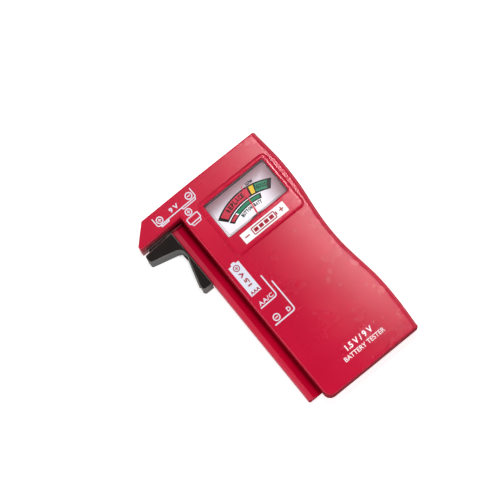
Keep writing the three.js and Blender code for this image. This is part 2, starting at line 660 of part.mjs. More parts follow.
// ---------------------------------------------------------------- wires
// name, material, radius, steps along the path, path points [x, y, z]
const WIRES = [
  ['wire_nine_volt_positive', 'wireRed', 0.55, 34, [
    [1.4, 104.9, 17], [2.4, 104.7, 12], [8, 103.6, 7.5], [15, 101.5, 5.6], [18.5, 95, 4.6],
    [18.5, 75, 4.4], [15.5, 62, 5.2], [14.5, 52, 8.6], [14.5, 50.5, 6.95]]],
  ['wire_nine_volt_negative', 'wireBlack', 0.55, 34, [
    [14.1, 104.9, 17], [13.8, 104.4, 12], [15.5, 103, 7.4], [20.5, 98, 5.0], [20.8, 75, 4.6],
    [18.5, 62, 5.2], [17.5, 52.5, 8.6], [17.5, 50.5, 6.95]]],
  ['wire_cell_positive', 'wireBlue', 0.55, 40, [
    [-4.0, 104.9, 15.3], [-3.2, 105.4, 12.2], [3.5, 105.8, 9.5], [12.5, 105.3, 5.2],
    [20.5, 101, 4.8], [23.2, 92, 4.6], [23.0, 75, 4.6], [21.5, 62, 5.0], [20.5, 52.5, 8.6],
    [20.5, 50.5, 6.95]]],
  ['wire_negative_bus', 'wireBlack', 0.55, 36, [
    [3.85, 104.4, 3.1], [6, 106, 3.3], [12, 104.8, 2.9], [24, 98, 2.75], [25.8, 75, 2.8],
    [24.8, 60, 3.8], [23.5, 52.6, 8.8], [23.5, 50.5, 6.95]]],
  ['wire_meter_positive', 'wireRed', 0.5, 20, [
    [26, 62.9, 6.4], [26, 61.4, 6.6], [27.5, 56, 8.4], [27.5, 51, 8.4], [27.5, 50, 6.85]]],
  ['wire_meter_negative', 'wireBlack', 0.5, 20, [
    [39, 62.9, 6.4], [39, 61.4, 6.6], [32.5, 56, 8.4], [32.0, 51, 8.4], [32.0, 50, 6.85]]],
];

// ---------------------------------------------------------------- materials
const MATERIALS = {
  red: { color: 0xc4143a, roughness: 0.42, metalness: 0 },
  black: { color: 0x26221f, roughness: 0.5, metalness: 0 },
  white: { color: 0xf2f1ee, roughness: 0.6, metalness: 0 },
  clear: { color: 0xdfe6ea, roughness: 0.06, metalness: 0, transparent: true, opacity: 0.3 },
  nickel: { color: 0xc9c7c0, roughness: 0.28, metalness: 1 },
  brass: { color: 0xb8963f, roughness: 0.32, metalness: 1 },
  iron: { color: 0x77787a, roughness: 0.45, metalness: 1 },
  magnet: { color: 0x3a3b3e, roughness: 0.5, metalness: 0.6 },
  copper: { color: 0x9c4a22, roughness: 0.35, metalness: 0.9 },
  needle: { color: 0xd8122c, roughness: 0.4, metalness: 0 },
  board: { color: 0x8a6a34, roughness: 0.6, metalness: 0 },
  ceramic: { color: 0xd9cfb8, roughness: 0.7, metalness: 0 },
  steel: { color: 0x9a9a9a, roughness: 0.35, metalness: 1 },
  wireRed: { color: 0xb01218, roughness: 0.5, metalness: 0 },
  wireBlack: { color: 0x161616, roughness: 0.5, metalness: 0 },
  wireBlue: { color: 0x1f3f8f, roughness: 0.5, metalness: 0 },
};

// ---------------------------------------------------------------- assembly
const group = new THREE.Group();
// every mesh is moved so that the casing's middle lies on the Z axis
const MIDDLE_X = (HEAD_LEFT + SIDE_MAX) / 2;
const MIDDLE_Y = (BODY_BOTTOM - BODY_BOW + BODY_TOP) / 2;
const add = (name, solid, material) => {
  const look = new THREE.MeshStandardMaterial(MATERIALS[material]);
  const mesh = new THREE.Mesh(toGeometry(solid), look);
  mesh.name = name;
  mesh.position.set(-MIDDLE_X, -MIDDLE_Y, 0);
  group.add(mesh);
};
const addEach = (name, places, make) => {
  places.forEach((at, i) => add(`${name}_${i + 1}`, make(at), 'steel'));
};

add('front_shell', makeFrontShell(), 'red');
add('rear_shell', makeRearShell(), 'red');
add('rear_label', box(LABEL.x, LABEL.y, [0.05, 0.3]), 'white');
add('meter_window', makeWindow(), 'clear');
add('name_plate', box(PLATE.x, PLATE.y, PLATE.z), 'white');
add('slide_arm', makeArm(), 'black');
add('slide_contact_leaf', makeLeaf(), 'nickel');
add('slide_contact_rivet', makeRivet(), 'nickel');
add('slide_wiper', makeWiper(), 'brass');
add('negative_bus_strip', makeBusStrip(), 'brass');
add('cell_positive_contact', makeCellContact(), 'nickel');
add('nine_volt_contact_positive', makeNineVoltContact(NINE_V_X[0]), 'nickel');
add('nine_volt_contact_negative', makeNineVoltContact(NINE_V_X[1]), 'nickel');
add('meter_case', makeMeterCase(), 'black');
add('scale_plate', makeDial(), 'white');
add('yoke_ring', makeYoke(), 'iron');
add('core_magnet', pivotRod(4.0, MAGNET_Z, 28), 'magnet');
add('core_spacer_upper', makeSpacer(1), 'brass');
add('core_spacer_lower', makeSpacer(-1), 'brass');
add('yoke_seat', makeYokeSeat(), 'black');
add('moving_coil', makeCoil(), 'copper');
add('coil_staff_upper', makeUpperStaff(), 'steel');
add('coil_staff_lower', makeLowerStaff(), 'steel');
add('pointer', makePointer(), 'needle');
add('hairspring_upper', makeHairspring(20.6), 'brass');
add('hairspring_lower', makeHairspring(11.1), 'brass');
add('movement_bridge', makeBridge(), 'brass');
add('jewel_bearing_upper', makeUpperBearing(), 'brass');
add('jewel_bearing_lower', makeLowerBearing(), 'brass');
add('meter_terminal_positive', makeTerminal(TERMINAL_X[0]), 'brass');
add('meter_terminal_negative', makeTerminal(TERMINAL_X[1]), 'brass');
addEach('meter_screw', METER_SCREWS, (at) => makeScrew(at, METER_SCREW));
add('circuit_board', makeBoard(), 'board');
addEach('board_screw', BOARD_SCREWS, makeBoardScrew);
add('load_resistor_cell', makeResistor(30.0, 1.9, [20, 31]), 'ceramic');
add('load_resistor_nine_volt', makeResistor(36.5, 1.5, [20, 29]), 'ceramic');
add('series_resistor', makeResistor(42.0, 1.1, [21, 27.5]), 'ceramic');
add('trimmer', makeTrimmer(), 'wireBlue');
for (const [name, material, radius, steps, points] of WIRES) {
  add(name, wire(points, radius, steps), material);
}
addEach('case_screw', CASE_SCREWS, (at) => makeScrew(at, CASE_SCREW));

export default group;
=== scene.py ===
# Battery tester: the looks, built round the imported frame. All lengths in the helpers are millimetres in the
# casing's own layout (x across from the rail's outer wall, y up from the lower end, z forward from the back).
import bpy, bmesh, math
import numpy as np
from mathutils import Vector, Matrix


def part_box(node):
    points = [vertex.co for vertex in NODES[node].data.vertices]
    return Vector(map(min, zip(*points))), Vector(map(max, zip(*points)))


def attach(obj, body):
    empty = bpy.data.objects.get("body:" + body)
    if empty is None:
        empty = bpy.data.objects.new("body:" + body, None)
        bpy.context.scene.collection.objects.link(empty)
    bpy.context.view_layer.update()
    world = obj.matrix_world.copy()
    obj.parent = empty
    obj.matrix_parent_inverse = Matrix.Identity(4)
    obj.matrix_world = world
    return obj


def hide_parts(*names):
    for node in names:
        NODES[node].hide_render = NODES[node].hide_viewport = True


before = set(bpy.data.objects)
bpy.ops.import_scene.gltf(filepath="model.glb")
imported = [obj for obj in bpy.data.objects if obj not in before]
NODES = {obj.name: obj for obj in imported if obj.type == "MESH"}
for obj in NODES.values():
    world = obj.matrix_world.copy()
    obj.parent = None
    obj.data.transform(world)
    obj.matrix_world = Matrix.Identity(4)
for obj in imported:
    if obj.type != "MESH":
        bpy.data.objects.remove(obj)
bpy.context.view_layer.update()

HEAD_LEFT, BODY_BOTTOM, BODY_TOP, HEAD_UNDER = -15.7, 0.9, 110.7, 100.8
_lo, _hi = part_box("front_shell")
OX = HEAD_LEFT - _lo.x * 1000.0
OY = (BODY_BOTTOM - 0.1) - _lo.y * 1000.0


def W(x, y, z):
    return Vector(((x - OX) / 1000.0, (y - OY) / 1000.0, z / 1000.0))


# ------------------------------------------------------------------ geometry helpers
def link(name, me):
    o = bpy.data.objects.new(name, me)
    bpy.context.scene.collection.objects.link(o)
    return o


def rings_obj(name, rings, closed=True):
    """Closed solid through rings of equal count (mm), back to front, each counter-clockwise seen from +Z."""
    bm = bmesh.new()
    vs = [[bm.verts.new(W(*p)) for p in ring] for ring in rings]
    n = len(rings[0])
    for k in range(len(rings) - 1):
        for i in range(n):
            j = (i + 1) % n
            bm.faces.new((vs[k][i], vs[k][j], vs[k + 1][j], vs[k + 1][i]))
    bm.faces.new(list(reversed(vs[0])))
    bm.faces.new(vs[-1])
    me = bpy.data.meshes.new(name)
    bm.to_mesh(me)
    bm.free()
    return link(name, me)


def ccw(pts):
    a = sum(p[0] * q[1] - q[0] * p[1] for p, q in zip(pts, pts[1:] + pts[:1]))
    return list(pts) if a > 0 else list(reversed(pts))


def prism_z(name, pts, z0, z1):
    pts = ccw(pts)
    return rings_obj(name, [[(p[0], p[1], z) for p in pts] for z in (z0, z1)])


def _prism(name, pts, place, a, b):
    pts = ccw(pts)
    bm = bmesh.new()
    lo = [bm.verts.new(W(*place(p, a))) for p in pts]
    hi = [bm.verts.new(W(*place(p, b))) for p in pts]
    n = len(pts)
    for i in range(n):
        j = (i + 1) % n
        bm.faces.new((lo[i], lo[j], hi[j], hi[i]))
    bm.faces.new(list(reversed(lo)))
    bm.faces.new(hi)
    bmesh.ops.recalc_face_normals(bm, faces=bm.faces)
    me = bpy.data.meshes.new(name)
    bm.to_mesh(me)
    bm.free()
    return link(name, me)


def prism_y(name, pts, y0, y1):      # outline in (x, z)
    return _prism(name, pts, lambda p, t: (p[0], t, p[1]), y0, y1)


def prism_x(name, pts, x0, x1):      # outline in (y, z)
    return _prism(name, pts, lambda p, t: (t, p[0], p[1]), x0, x1)


def arc(cx, cy, r, a0, a1, n):
    return [(cx + r * math.cos(math.radians(a0 + (a1 - a0) * i / n)), cy + r * math.sin(math.radians(a0 + (a1 - a0) * i / n))) for i in range(n + 1)]


def turned(name, axis, profile, c1, c2, seg=48):
    """Solid of revolution: profile is [(along, radius)], from end to end; radius 0 at the ends closes it."""
    bm = bmesh.new()
    rows = []
    for s, r in profile:
        row = []
        for i in range(seg):
            a = 2 * math.pi * i / seg
            u, v = r * math.cos(a), r * math.sin(a)
            p = {"z": (c1 + u, c2 + v, s), "y": (c1 + u, s, c2 + v), "x": (s, c1 + u, c2 + v)}[axis]
            row.append(bm.verts.new(W(*p)))
        rows.append(row)
    for k in range(len(rows) - 1):
        for i in range(seg):
            j = (i + 1) % seg
            bm.faces.new((rows[k][i], rows[k][j], rows[k + 1][j], rows[k + 1][i]))
    bm.faces.new(rows[0])
    bm.faces.new(rows[-1])
    bmesh.ops.recalc_face_normals(bm, faces=bm.faces)
    me = bpy.data.meshes.new(name)
    bm.to_mesh(me)
    bm.free()
    return link(name, me)


def boolean(a, b, op="DIFFERENCE", keep=False):
    m = a.modifiers.new("b", "BOOLEAN")
    m.operation, m.object, m.solver = op, b, "MANIFOLD"
    dg = bpy.context.evaluated_depsgraph_get()
    me = bpy.data.meshes.new_from_object(a.evaluated_get(dg))
    if len(me.polygons) == 0:
        m.solver = "EXACT"
        dg = bpy.context.evaluated_depsgraph_get()
        me = bpy.data.meshes.new_from_object(a.evaluated_get(dg))
    a.modifiers.clear()
    old = a.data
    a.data = me
    me.name = old.name
    bpy.data.meshes.remove(old)
    if not keep:
        bpy.data.objects.remove(b, do_unlink=True)
    return a


def catmull(pts, n):
    out = []
    P = [tuple(2 * a - b for a, b in zip(pts[0], pts[1]))] + list(pts) + [tuple(2 * a - b for a, b in zip(pts[-1], pts[-2]))]
    for i in range(1, len(P) - 2):
        p0, p1, p2, p3 = (np.array(P[k], float) for k in (i - 1, i, i + 1, i + 2))
        for j in range(n):
            t = j / n
            out.append(tuple(0.5 * (2 * p1 + (p2 - p0) * t + (2 * p0 - 5 * p1 + 4 * p2 - p3) * t * t + (3 * p1 - p0 - 3 * p2 + p3) * t ** 3)))
    out.append(tuple(pts[-1]))
    return out


class Pt:
    def __init__(s, off, f, d):
        s.off, s.f, s.d = off, f, d


def outline(corners, seg=9):
    """Outline points that can be offset inwards. Corner: (x, y, radius, fillet, draft)."""
    n, out = len(corners), []
    for i in range(n):
        c = corners[i]
        x, y = c[0], c[1]
        R = c[2] if len(c) > 2 else 0
        f = c[3] if len(c) > 3 else 0
        d0 = c[4] if len(c) > 4 else 0
        a, b = corners[i - 1], corners[(i + 1) % n]
        u = np.array([x - a[0], y - a[1]], float); u /= np.linalg.norm(u)
        v = np.array([b[0] - x, b[1] - y], float); v /= np.linalg.norm(v)
        nu, nv = np.array([-u[1], u[0]]), np.array([-v[1], v[0]])
        m = nu + nv; m /= np.linalg.norm(m)
        k = 1 / max(0.3, float(m @ nu))
        turn = u[0] * v[1] - u[1] * v[0]
        if R < 0.05 or turn <= 1e-3:
            out.append(Pt(lambda d, x=x, y=y, m=m, k=k: (x + m[0] * k * d, y + m[1] * k * d), f, d0))
            continue
        half = math.acos(max(-1, min(1, float(u @ v)))) / 2
        cx, cy = x + m[0] * k * R, y + m[1] * k * R
        for j in range(seg + 1):
            g = math.atan2(-nu[1], -nu[0]) + 2 * half * j / seg
            dr = (math.cos(g), math.sin(g))

            def off(d, cx=cx, cy=cy, dr=dr, m=m, k=k, R=R):
                if d <= R - 0.03:
                    return (cx + dr[0] * (R - d), cy + dr[1] * (R - d))
                e = d - (R - 0.03)
                return (cx + m[0] * k * e + dr[0] * 0.03, cy + m[1] * k * e + dr[1] * 0.03)
            out.append(Pt(off, f, d0))
    return out


def ring_at(pts, off, z):
    return [(*p.off(off), z) for p in pts]


def smooth(o, angle=32, weighted=True):
    me = o.data
    me.polygons.foreach_set("use_smooth", [True] * len(me.polygons))
    me.set_sharp_from_angle(angle=math.radians(angle))
    if weighted:
        m = o.modifiers.new("wn", "WEIGHTED_NORMAL")
        m.keep_sharp = True
        m.weight = 60
    return o


# ------------------------------------------------------------------ materials
def new_mat(name):
    m = bpy.data.materials.new(name)
    m.use_nodes = True
    nt = m.node_tree
    nt.nodes.clear()
    out = nt.nodes.new("ShaderNodeOutputMaterial")
    b = nt.nodes.new("ShaderNodeBsdfPrincipled")
    nt.links.new(b.outputs[0], out.inputs[0])
    tc = nt.nodes.new("ShaderNodeTexCoord")
    return m, nt, b, tc


def srgb(r, g, b):
    f = lambda c: c / 12.92 if c <= 0.04045 else ((c + 0.055) / 1.055) ** 2.4
    return (f(r / 255), f(g / 255), f(b / 255), 1)


def noise(nt, tc, scale, detail=4, rough=0.55, stretch=None):
    n = nt.nodes.new("ShaderNodeTexNoise")
    n.inputs["Scale"].default_value = scale
    n.inputs["Detail"].default_value = detail
    n.inputs["Roughness"].default_value = rough
    if stretch:
        mp = nt.nodes.new("ShaderNodeMapping")
        mp.inputs["Scale"].default_value = stretch
        nt.links.new(tc.outputs["Object"], mp.inputs["Vector"])
        nt.links.new(mp.outputs[0], n.inputs["Vector"])
    else:
        nt.links.new(tc.outputs["Object"], n.inputs["Vector"])
    return n.outputs["Fac"]


def ramp(nt, fac, stops):
    r = nt.nodes.new("ShaderNodeValToRGB")
    e = r.color_ramp.elements
    while len(e) < len(stops):
        e.new(0.5)
    for el, (p, c) in zip(e, stops):
        el.position, el.color = p, c if len(c) == 4 else (*c, 1)
    nt.links.new(fac, r.inputs[0])
    return r.outputs[0]


def maprange(nt, fac, a, b, lo=0.3, hi=0.7):
    m = nt.nodes.new("ShaderNodeMapRange")
    m.inputs["From Min"].default_value, m.inputs["From Max"].default_value = lo, hi
    m.inputs["To Min"].default_value, m.inputs["To Max"].default_value = a, b
    nt.links.new(fac, m.inputs["Value"])
    return m.outputs[0]


def mix(nt, fac, a, b, blend="MIX"):
    m = nt.nodes.new("ShaderNodeMix")
    m.data_type, m.blend_type = "RGBA", blend
    for s, val in ((m.inputs[0], fac), (m.inputs[6], a), (m.inputs[7], b)):
        if hasattr(val, "is_output"):
            nt.links.new(val, s)
        else:
            s.default_value = val
    return m.outputs[2]


def bump(nt, bsdf, heights):
    """heights: [(socket, distance in mm)] stacked."""
    prev = None
    for h, dist in heights:
        b = nt.nodes.new("ShaderNodeBump")
        b.inputs["Strength"].default_value = 1.0
        b.inputs["Distance"].default_value = dist / 1000.0
        nt.links.new(h, b.inputs["Height"])
        if prev is not None:
            nt.links.new(prev, b.inputs["Normal"])
        prev = b.outputs[0]
    nt.links.new(prev, bsdf.inputs["Normal"])


def edge_mask(nt, radius_mm):
    """1 along convex and concave edges, from the difference between a rounded and the true normal."""
    bv = nt.nodes.new("ShaderNodeBevel")
    bv.samples = 4
    bv.inputs["Radius"].default_value = radius_mm / 1000.0
    g = nt.nodes.new("ShaderNodeNewGeometry")
    d = nt.nodes.new("ShaderNodeVectorMath")
    d.operation = "DOT_PRODUCT"
    nt.links.new(bv.outputs[0], d.inputs[0])
    nt.links.new(g.outputs["Normal"], d.inputs[1])
    return maprange(nt, d.outputs["Value"], 1.0, 0.0, 0.75, 0.99)


def plastic(name, base, rough, grain=0.012, grain_scale=2600, var=0.06, coat=0.0, sss=0.0, edge_wear_and_highlight=None, worn=(0, 0.75), spec=0.5, painted_lip_sheen=False, rim=None):
    """Moulded plastic: spark-eroded grain, slow colour and gloss drift, fine scuffs, lighter edges that are partly worn
    and partly a painted highlight; optionally a painted sheen on the rail's lip and a painted highlight on rounded
    front edges.
    """
    m, nt, b, tc = new_mat(name)
    col = srgb(*base)
    slow = noise(nt, tc, 45, 3)
    fine = noise(nt, tc, grain_scale, 3, 0.6)
    dark = tuple(c * (1 - var) for c in col[:3]) + (1,)
    light = tuple(min(1, c * (1 + var) + 0.002) for c in col[:3]) + (1,)
    c = mix(nt, maprange(nt, slow, 0, 1, 0.35, 0.65), dark, light)
    speck = noise(nt, tc, 1500, 2)
    c = mix(nt, maprange(nt, speck, 0, 0.45, 0.45, 0.75), c, dark)
    if edge_wear_and_highlight:
        # lighter along convex and concave edges in patches: partly worn edges, partly a painted edge highlight
        em = edge_mask(nt, 0.35)
        patch = maprange(nt, noise(nt, tc, 260, 5, 0.7), worn[0], worn[1], 0.42, 0.62)
        mul = nt.nodes.new("ShaderNodeMath"); mul.operation = "MULTIPLY"
        nt.links.new(em, mul.inputs[0]); nt.links.new(patch, mul.inputs[1])
        c = mix(nt, mul.outputs[0], c, srgb(*edge_wear_and_highlight))
    if painted_lip_sheen:
        # painted sheen on the rail's lip: its flat top made paler pink, in streaks, standing in for a reflection
        sp = nt.nodes.new("ShaderNodeSeparateXYZ")
        nt.links.new(tc.outputs["Object"], sp.inputs[0])
        rx = maprange(nt, sp.outputs["X"], 1.0, 0.0, W(2.3, 0, 0).x, W(2.6, 0, 0).x)
        rz = maprange(nt, sp.outputs["Z"], 0.0, 1.0, 0.01195, 0.01235)
        rt = maprange(nt, sp.outputs["Z"], 1.0, 0.0, 0.0127, 0.0132)
        mt = nt.nodes.new("ShaderNodeMath"); mt.operation = "MULTIPLY"
        nt.links.new(rz, mt.inputs[0]); nt.links.new(rt, mt.inputs[1])
        ml = nt.nodes.new("ShaderNodeMath"); ml.operation = "MULTIPLY"
        nt.links.new(rx, ml.inputs[0]); nt.links.new(mt.outputs[0], ml.inputs[1])
        m2 = nt.nodes.new("ShaderNodeMath"); m2.operation = "MULTIPLY"
        nt.links.new(ml.outputs[0], m2.inputs[0])
        nt.links.new(maprange(nt, noise(nt, tc, 70, 4, 0.6, (6, 0.6, 1)), 0.35, 0.85, 0.35, 0.65), m2.inputs[1])
        c = mix(nt, m2.outputs[0], c, srgb(196, 52, 76))
    if rim:
        # painted highlight on the rounded front edges: paler where the normal faces part-way forward, in noisy patches
        g = nt.nodes.new("ShaderNodeNewGeometry")
        sn = nt.nodes.new("ShaderNodeSeparateXYZ")
        nt.links.new(g.outputs["Normal"], sn.inputs[0])
        up_ = maprange(nt, sn.outputs["Z"], 0.0, 1.0, 0.30, 0.45)
        dn_ = maprange(nt, sn.outputs["Z"], 1.0, 0.0, 0.90, 0.97)
        ml = nt.nodes.new("ShaderNodeMath"); ml.operation = "MULTIPLY"
        nt.links.new(up_, ml.inputs[0]); nt.links.new(dn_, ml.inputs[1])
        m2 = nt.nodes.new("ShaderNodeMath"); m2.operation = "MULTIPLY"
        nt.links.new(ml.outputs[0], m2.inputs[0])
        nt.links.new(maprange(nt, noise(nt, tc, 200, 4, 0.6), 0.25, 1.0, 0.35, 0.6), m2.inputs[1])
        c = mix(nt, m2.outputs[0], c, srgb(*rim))
    nt.links.new(c, b.inputs["Base Color"])
    r1 = maprange(nt, noise(nt, tc, 120, 3, 0.5), rough - 0.005, rough + 0.006)
    scr = noise(nt, tc, 60, 8, 0.75, (1, 14, 1))
    r2 = maprange(nt, scr, 0, 0.004, 0.50, 0.85)
    add = nt.nodes.new("ShaderNodeMath"); add.operation = "ADD"
    nt.links.new(r1, add.inputs[0]); nt.links.new(r2, add.inputs[1])
    nt.links.new(add.outputs[0], b.inputs["Roughness"])
    b.inputs["Specular IOR Level"].default_value = spec
    if coat:
        b.inputs["Coat Weight"].default_value = coat
        b.inputs["Coat Roughness"].default_value = 0.25
    if sss:
        b.inputs["Subsurface Weight"].default_value = sss
        b.inputs["Subsurface Radius"].default_value = (0.0012, 0.0003, 0.0003)
        b.inputs["Subsurface Scale"].default_value = 1.0
    bump(nt, b, [(fine, grain), (noise(nt, tc, 700, 2), grain * 0.35)])
    return m


def metal(name, base, rough, brushed=None, tarnish=None):
    m, nt, b, tc = new_mat(name)
    col = srgb(*base)
    c = mix(nt, maprange(nt, noise(nt, tc, 350, 4), 0, 1), tuple(x * 0.82 for x in col[:3]) + (1,), col)
    if tarnish:
        c = mix(nt, maprange(nt, noise(nt, tc, 160, 6, 0.7), 0, 0.5, 0.5, 0.75), c, srgb(*tarnish))
    nt.links.new(c, b.inputs["Base Color"])
    b.inputs["Metallic"].default_value = 1.0
    nt.links.new(maprange(nt, noise(nt, tc, 500, 5, 0.7), rough * 0.75, rough * 1.35), b.inputs["Roughness"])
    g = noise(nt, tc, 900, 4, 0.6, brushed) if brushed else noise(nt, tc, 2400, 3)
    bump(nt, b, [(g, 0.004), (noise(nt, tc, 250, 3), 0.01)])
    return m


def ink(name, base, rough=0.5):
    m, nt, b, tc = new_mat(name)
    col = srgb(*base)
    worn = maprange(nt, noise(nt, tc, 1400, 4, 0.7), 0, 0.35, 0.55, 0.75)
    nt.links.new(mix(nt, worn, col, tuple(x * 0.86 for x in col[:3]) + (1,)), b.inputs["Base Color"])
    nt.links.new(maprange(nt, noise(nt, tc, 800, 3), rough - 0.06, rough + 0.08), b.inputs["Roughness"])
    bump(nt, b, [(noise(nt, tc, 2600, 2), 0.006)])
    return m


def clear_mat(name):
    m = bpy.data.materials.new(name)
    m.use_nodes = True
    nt = m.node_tree
    nt.nodes.clear()
    out = nt.nodes.new("ShaderNodeOutputMaterial")
    tc = nt.nodes.new("ShaderNodeTexCoord")
    tr = nt.nodes.new("ShaderNodeBsdfTransparent")
    tr.inputs[0].default_value = (0.985, 0.988, 0.992, 1)
    gl = nt.nodes.new("ShaderNodeBsdfGlossy")
    gl.inputs["Color"].default_value = (1, 1, 1, 1)
    sc = maprange(nt, noise(nt, tc, 160, 8, 0.75, (1, 9, 1)), 0.16, 0.24, 0.55, 0.75)
    nt.links.new(sc, gl.inputs["Roughness"])
    fr = nt.nodes.new("ShaderNodeFresnel")
    fr.inputs["IOR"].default_value = 1.49
    bp = nt.nodes.new("ShaderNodeBump")
    bp.inputs["Distance"].default_value = 0.00003
    nt.links.new(noise(nt, tc, 60, 2), bp.inputs["Height"])
    nt.links.new(bp.outputs[0], gl.inputs["Normal"])
    nt.links.new(bp.outputs[0], fr.inputs["Normal"])
    gm = nt.nodes.new("ShaderNodeNewGeometry")
    outer = nt.nodes.new("ShaderNodeMath")
    outer.operation = "SUBTRACT"
    outer.inputs[0].default_value = 1.0
    nt.links.new(gm.outputs["Backfacing"], outer.inputs[1])
    refl = nt.nodes.new("ShaderNodeMath")
    refl.operation = "MULTIPLY"
    nt.links.new(fr.outputs[0], refl.inputs[0])
    nt.links.new(outer.outputs[0], refl.inputs[1])
    mx = nt.nodes.new("ShaderNodeMixShader")
    nt.links.new(refl.outputs[0], mx.inputs[0])
    nt.links.new(tr.outputs[0], mx.inputs[1])
    nt.links.new(gl.outputs[0], mx.inputs[2])
    df = nt.nodes.new("ShaderNodeBsdfDiffuse")
    df.inputs[0].default_value = srgb(226, 216, 224)
    sz = nt.nodes.new("ShaderNodeSeparateXYZ")
    nt.links.new(gm.outputs["Normal"], sz.inputs[0])
    az = nt.nodes.new("ShaderNodeMath")
    az.operation = "ABSOLUTE"
    nt.links.new(sz.outputs["Z"], az.inputs[0])
    wall = maprange(nt, az.outputs[0], 0.72, 0.0, 0.2, 0.9)
    mw = nt.nodes.new("ShaderNodeMixShader")
    nt.links.new(wall, mw.inputs[0])
    nt.links.new(mx.outputs[0], mw.inputs[1])
    nt.links.new(df.outputs[0], mw.inputs[2])
    nt.links.new(mw.outputs[0], out.inputs[0])
    return m


# red plastic: edges lighter, partly worn and partly painted highlight; painted sheen on the rail's lip
RED = plastic("red_plastic", (191, 2, 49), 0.27, grain=0.003, grain_scale=3000, var=0.05, edge_wear_and_highlight=(200, 24, 60), worn=(0.0, 0.25), spec=0.7, painted_lip_sheen=True)
# black plastic: edges lighter, partly worn and partly painted highlight; rim paints a highlight on the rounded front
# edges
BLACK = plastic("black_plastic", (31, 27, 25), 0.42, grain=0.010, var=0.12, edge_wear_and_highlight=(150, 144, 138), worn=(0.3, 0.7), rim=(134, 128, 122))
CASE_BLACK = plastic("meter_black", (22, 22, 23), 0.5, var=0.15)
WHITE = plastic("white_label", (240, 239, 241), 0.42, grain=0.004, var=0.02)
NICKEL = metal("nickel", (186, 182, 174), 0.34, brushed=(1, 12, 1), tarnish=(128, 120, 108))
BRASS = metal("brass_metal", (196, 154, 78), 0.3, tarnish=(120, 84, 40))
STEEL = metal("steel_metal", (168, 170, 174), 0.3, tarnish=(110, 104, 98))
IRON = metal("soft_iron", (120, 122, 126), 0.42, tarnish=(84, 66, 52))
MAGNET = metal("magnet_metal", (70, 71, 76), 0.5)
COPPER = metal("enamelled_copper", (150, 74, 40), 0.32, brushed=(1, 1, 30))
BOARD = plastic("board_paper", (150, 104, 50), 0.5, var=0.12)
CERAMIC = plastic("resistor_body", (205, 190, 158), 0.6, var=0.1)
W_RED = plastic("wire_red_pvc", (170, 18, 22), 0.38)
W_BLACK = plastic("wire_black_pvc", (24, 24, 25), 0.38)
W_BLUE = plastic("wire_blue_pvc", (32, 62, 140), 0.38)
NEEDLE = ink("pointer_paint", (236, 42, 78), 0.42)
CLEAR = clear_mat("clear_cover")


def dial_card_painted_shade(name):
    """White card with painted shade, greyer toward the upper and right edges of the opening where the frame's walls
    shade it, and a faint painted glow.
    """
    m, nt, b, tc = new_mat(name)
    sep = nt.nodes.new("ShaderNodeSeparateXYZ")
    nt.links.new(tc.outputs["Object"], sep.inputs[0])
    # painted shade: darker toward the top and toward the right of the opening, the smooth minimum of both
    dial_shade_top = maprange(nt, sep.outputs["Y"], 0.0, 1.0, W(0, 98.4, 0).y, W(0, 90.0, 0).y)
    dial_shade_right = maprange(nt, sep.outputs["X"], 0.0, 1.0, W(50.6, 0, 0).x, W(38.65, 0, 0).x)
    dial_shade = nt.nodes.new("ShaderNodeMath")
    dial_shade.operation = "SMOOTH_MIN"
    dial_shade.inputs[2].default_value = 0.12
    nt.links.new(dial_shade_top, dial_shade.inputs[0])
    nt.links.new(dial_shade_right, dial_shade.inputs[1])
    c = ramp(nt, dial_shade.outputs[0], [(0.0, srgb(150, 112, 122)), (0.13, srgb(160, 128, 136)), (0.285, srgb(170, 144, 152)), (0.49, srgb(200, 184, 192)), (0.69, srgb(228, 221, 228)), (0.94, srgb(246, 242, 246)), (1.0, srgb(251, 250, 252))])
    speck = maprange(nt, noise(nt, tc, 1200, 3, 0.6), 0, 0.04, 0.5, 0.8)
    c = mix(nt, speck, c, (0.5, 0.5, 0.5, 1))
    nt.links.new(c, b.inputs["Base Color"])
    # painted glow: the card gives off a little light in its own colour, though it is no lamp
    nt.links.new(c, b.inputs["Emission Color"])
    b.inputs["Emission Strength"].default_value = 0.2
    nt.links.new(maprange(nt, noise(nt, tc, 800, 3), 0.5, 0.62), b.inputs["Roughness"])
    bump(nt, b, [(noise(nt, tc, 2600, 2), 0.004)])
    return m


DIAL_PAINTED_SHADE = dial_card_painted_shade("dial_card_painted_shade")
INK_LIGHT = ink("legend_ink", (214, 216, 228), 0.5)
INK_WHITE = ink("title_ink", (246, 244, 247), 0.5)
INK_RED = ink("legend_red", (158, 14, 36), 0.5)
INK_BLACK = ink("dial_black", (22, 24, 25), 0.5)
D_RED = ink("dial_red", (220, 62, 82), 0.5)
D_GREEN = ink("dial_green", (44, 146, 104), 0.5)
D_YELLOW = ink("dial_yellow", (248, 206, 48), 0.5)
INK_GREY = ink("label_grey", (120, 118, 124), 0.5)


def paint(o, m):
    o.data.materials.clear()
    o.data.materials.append(m)
    return o


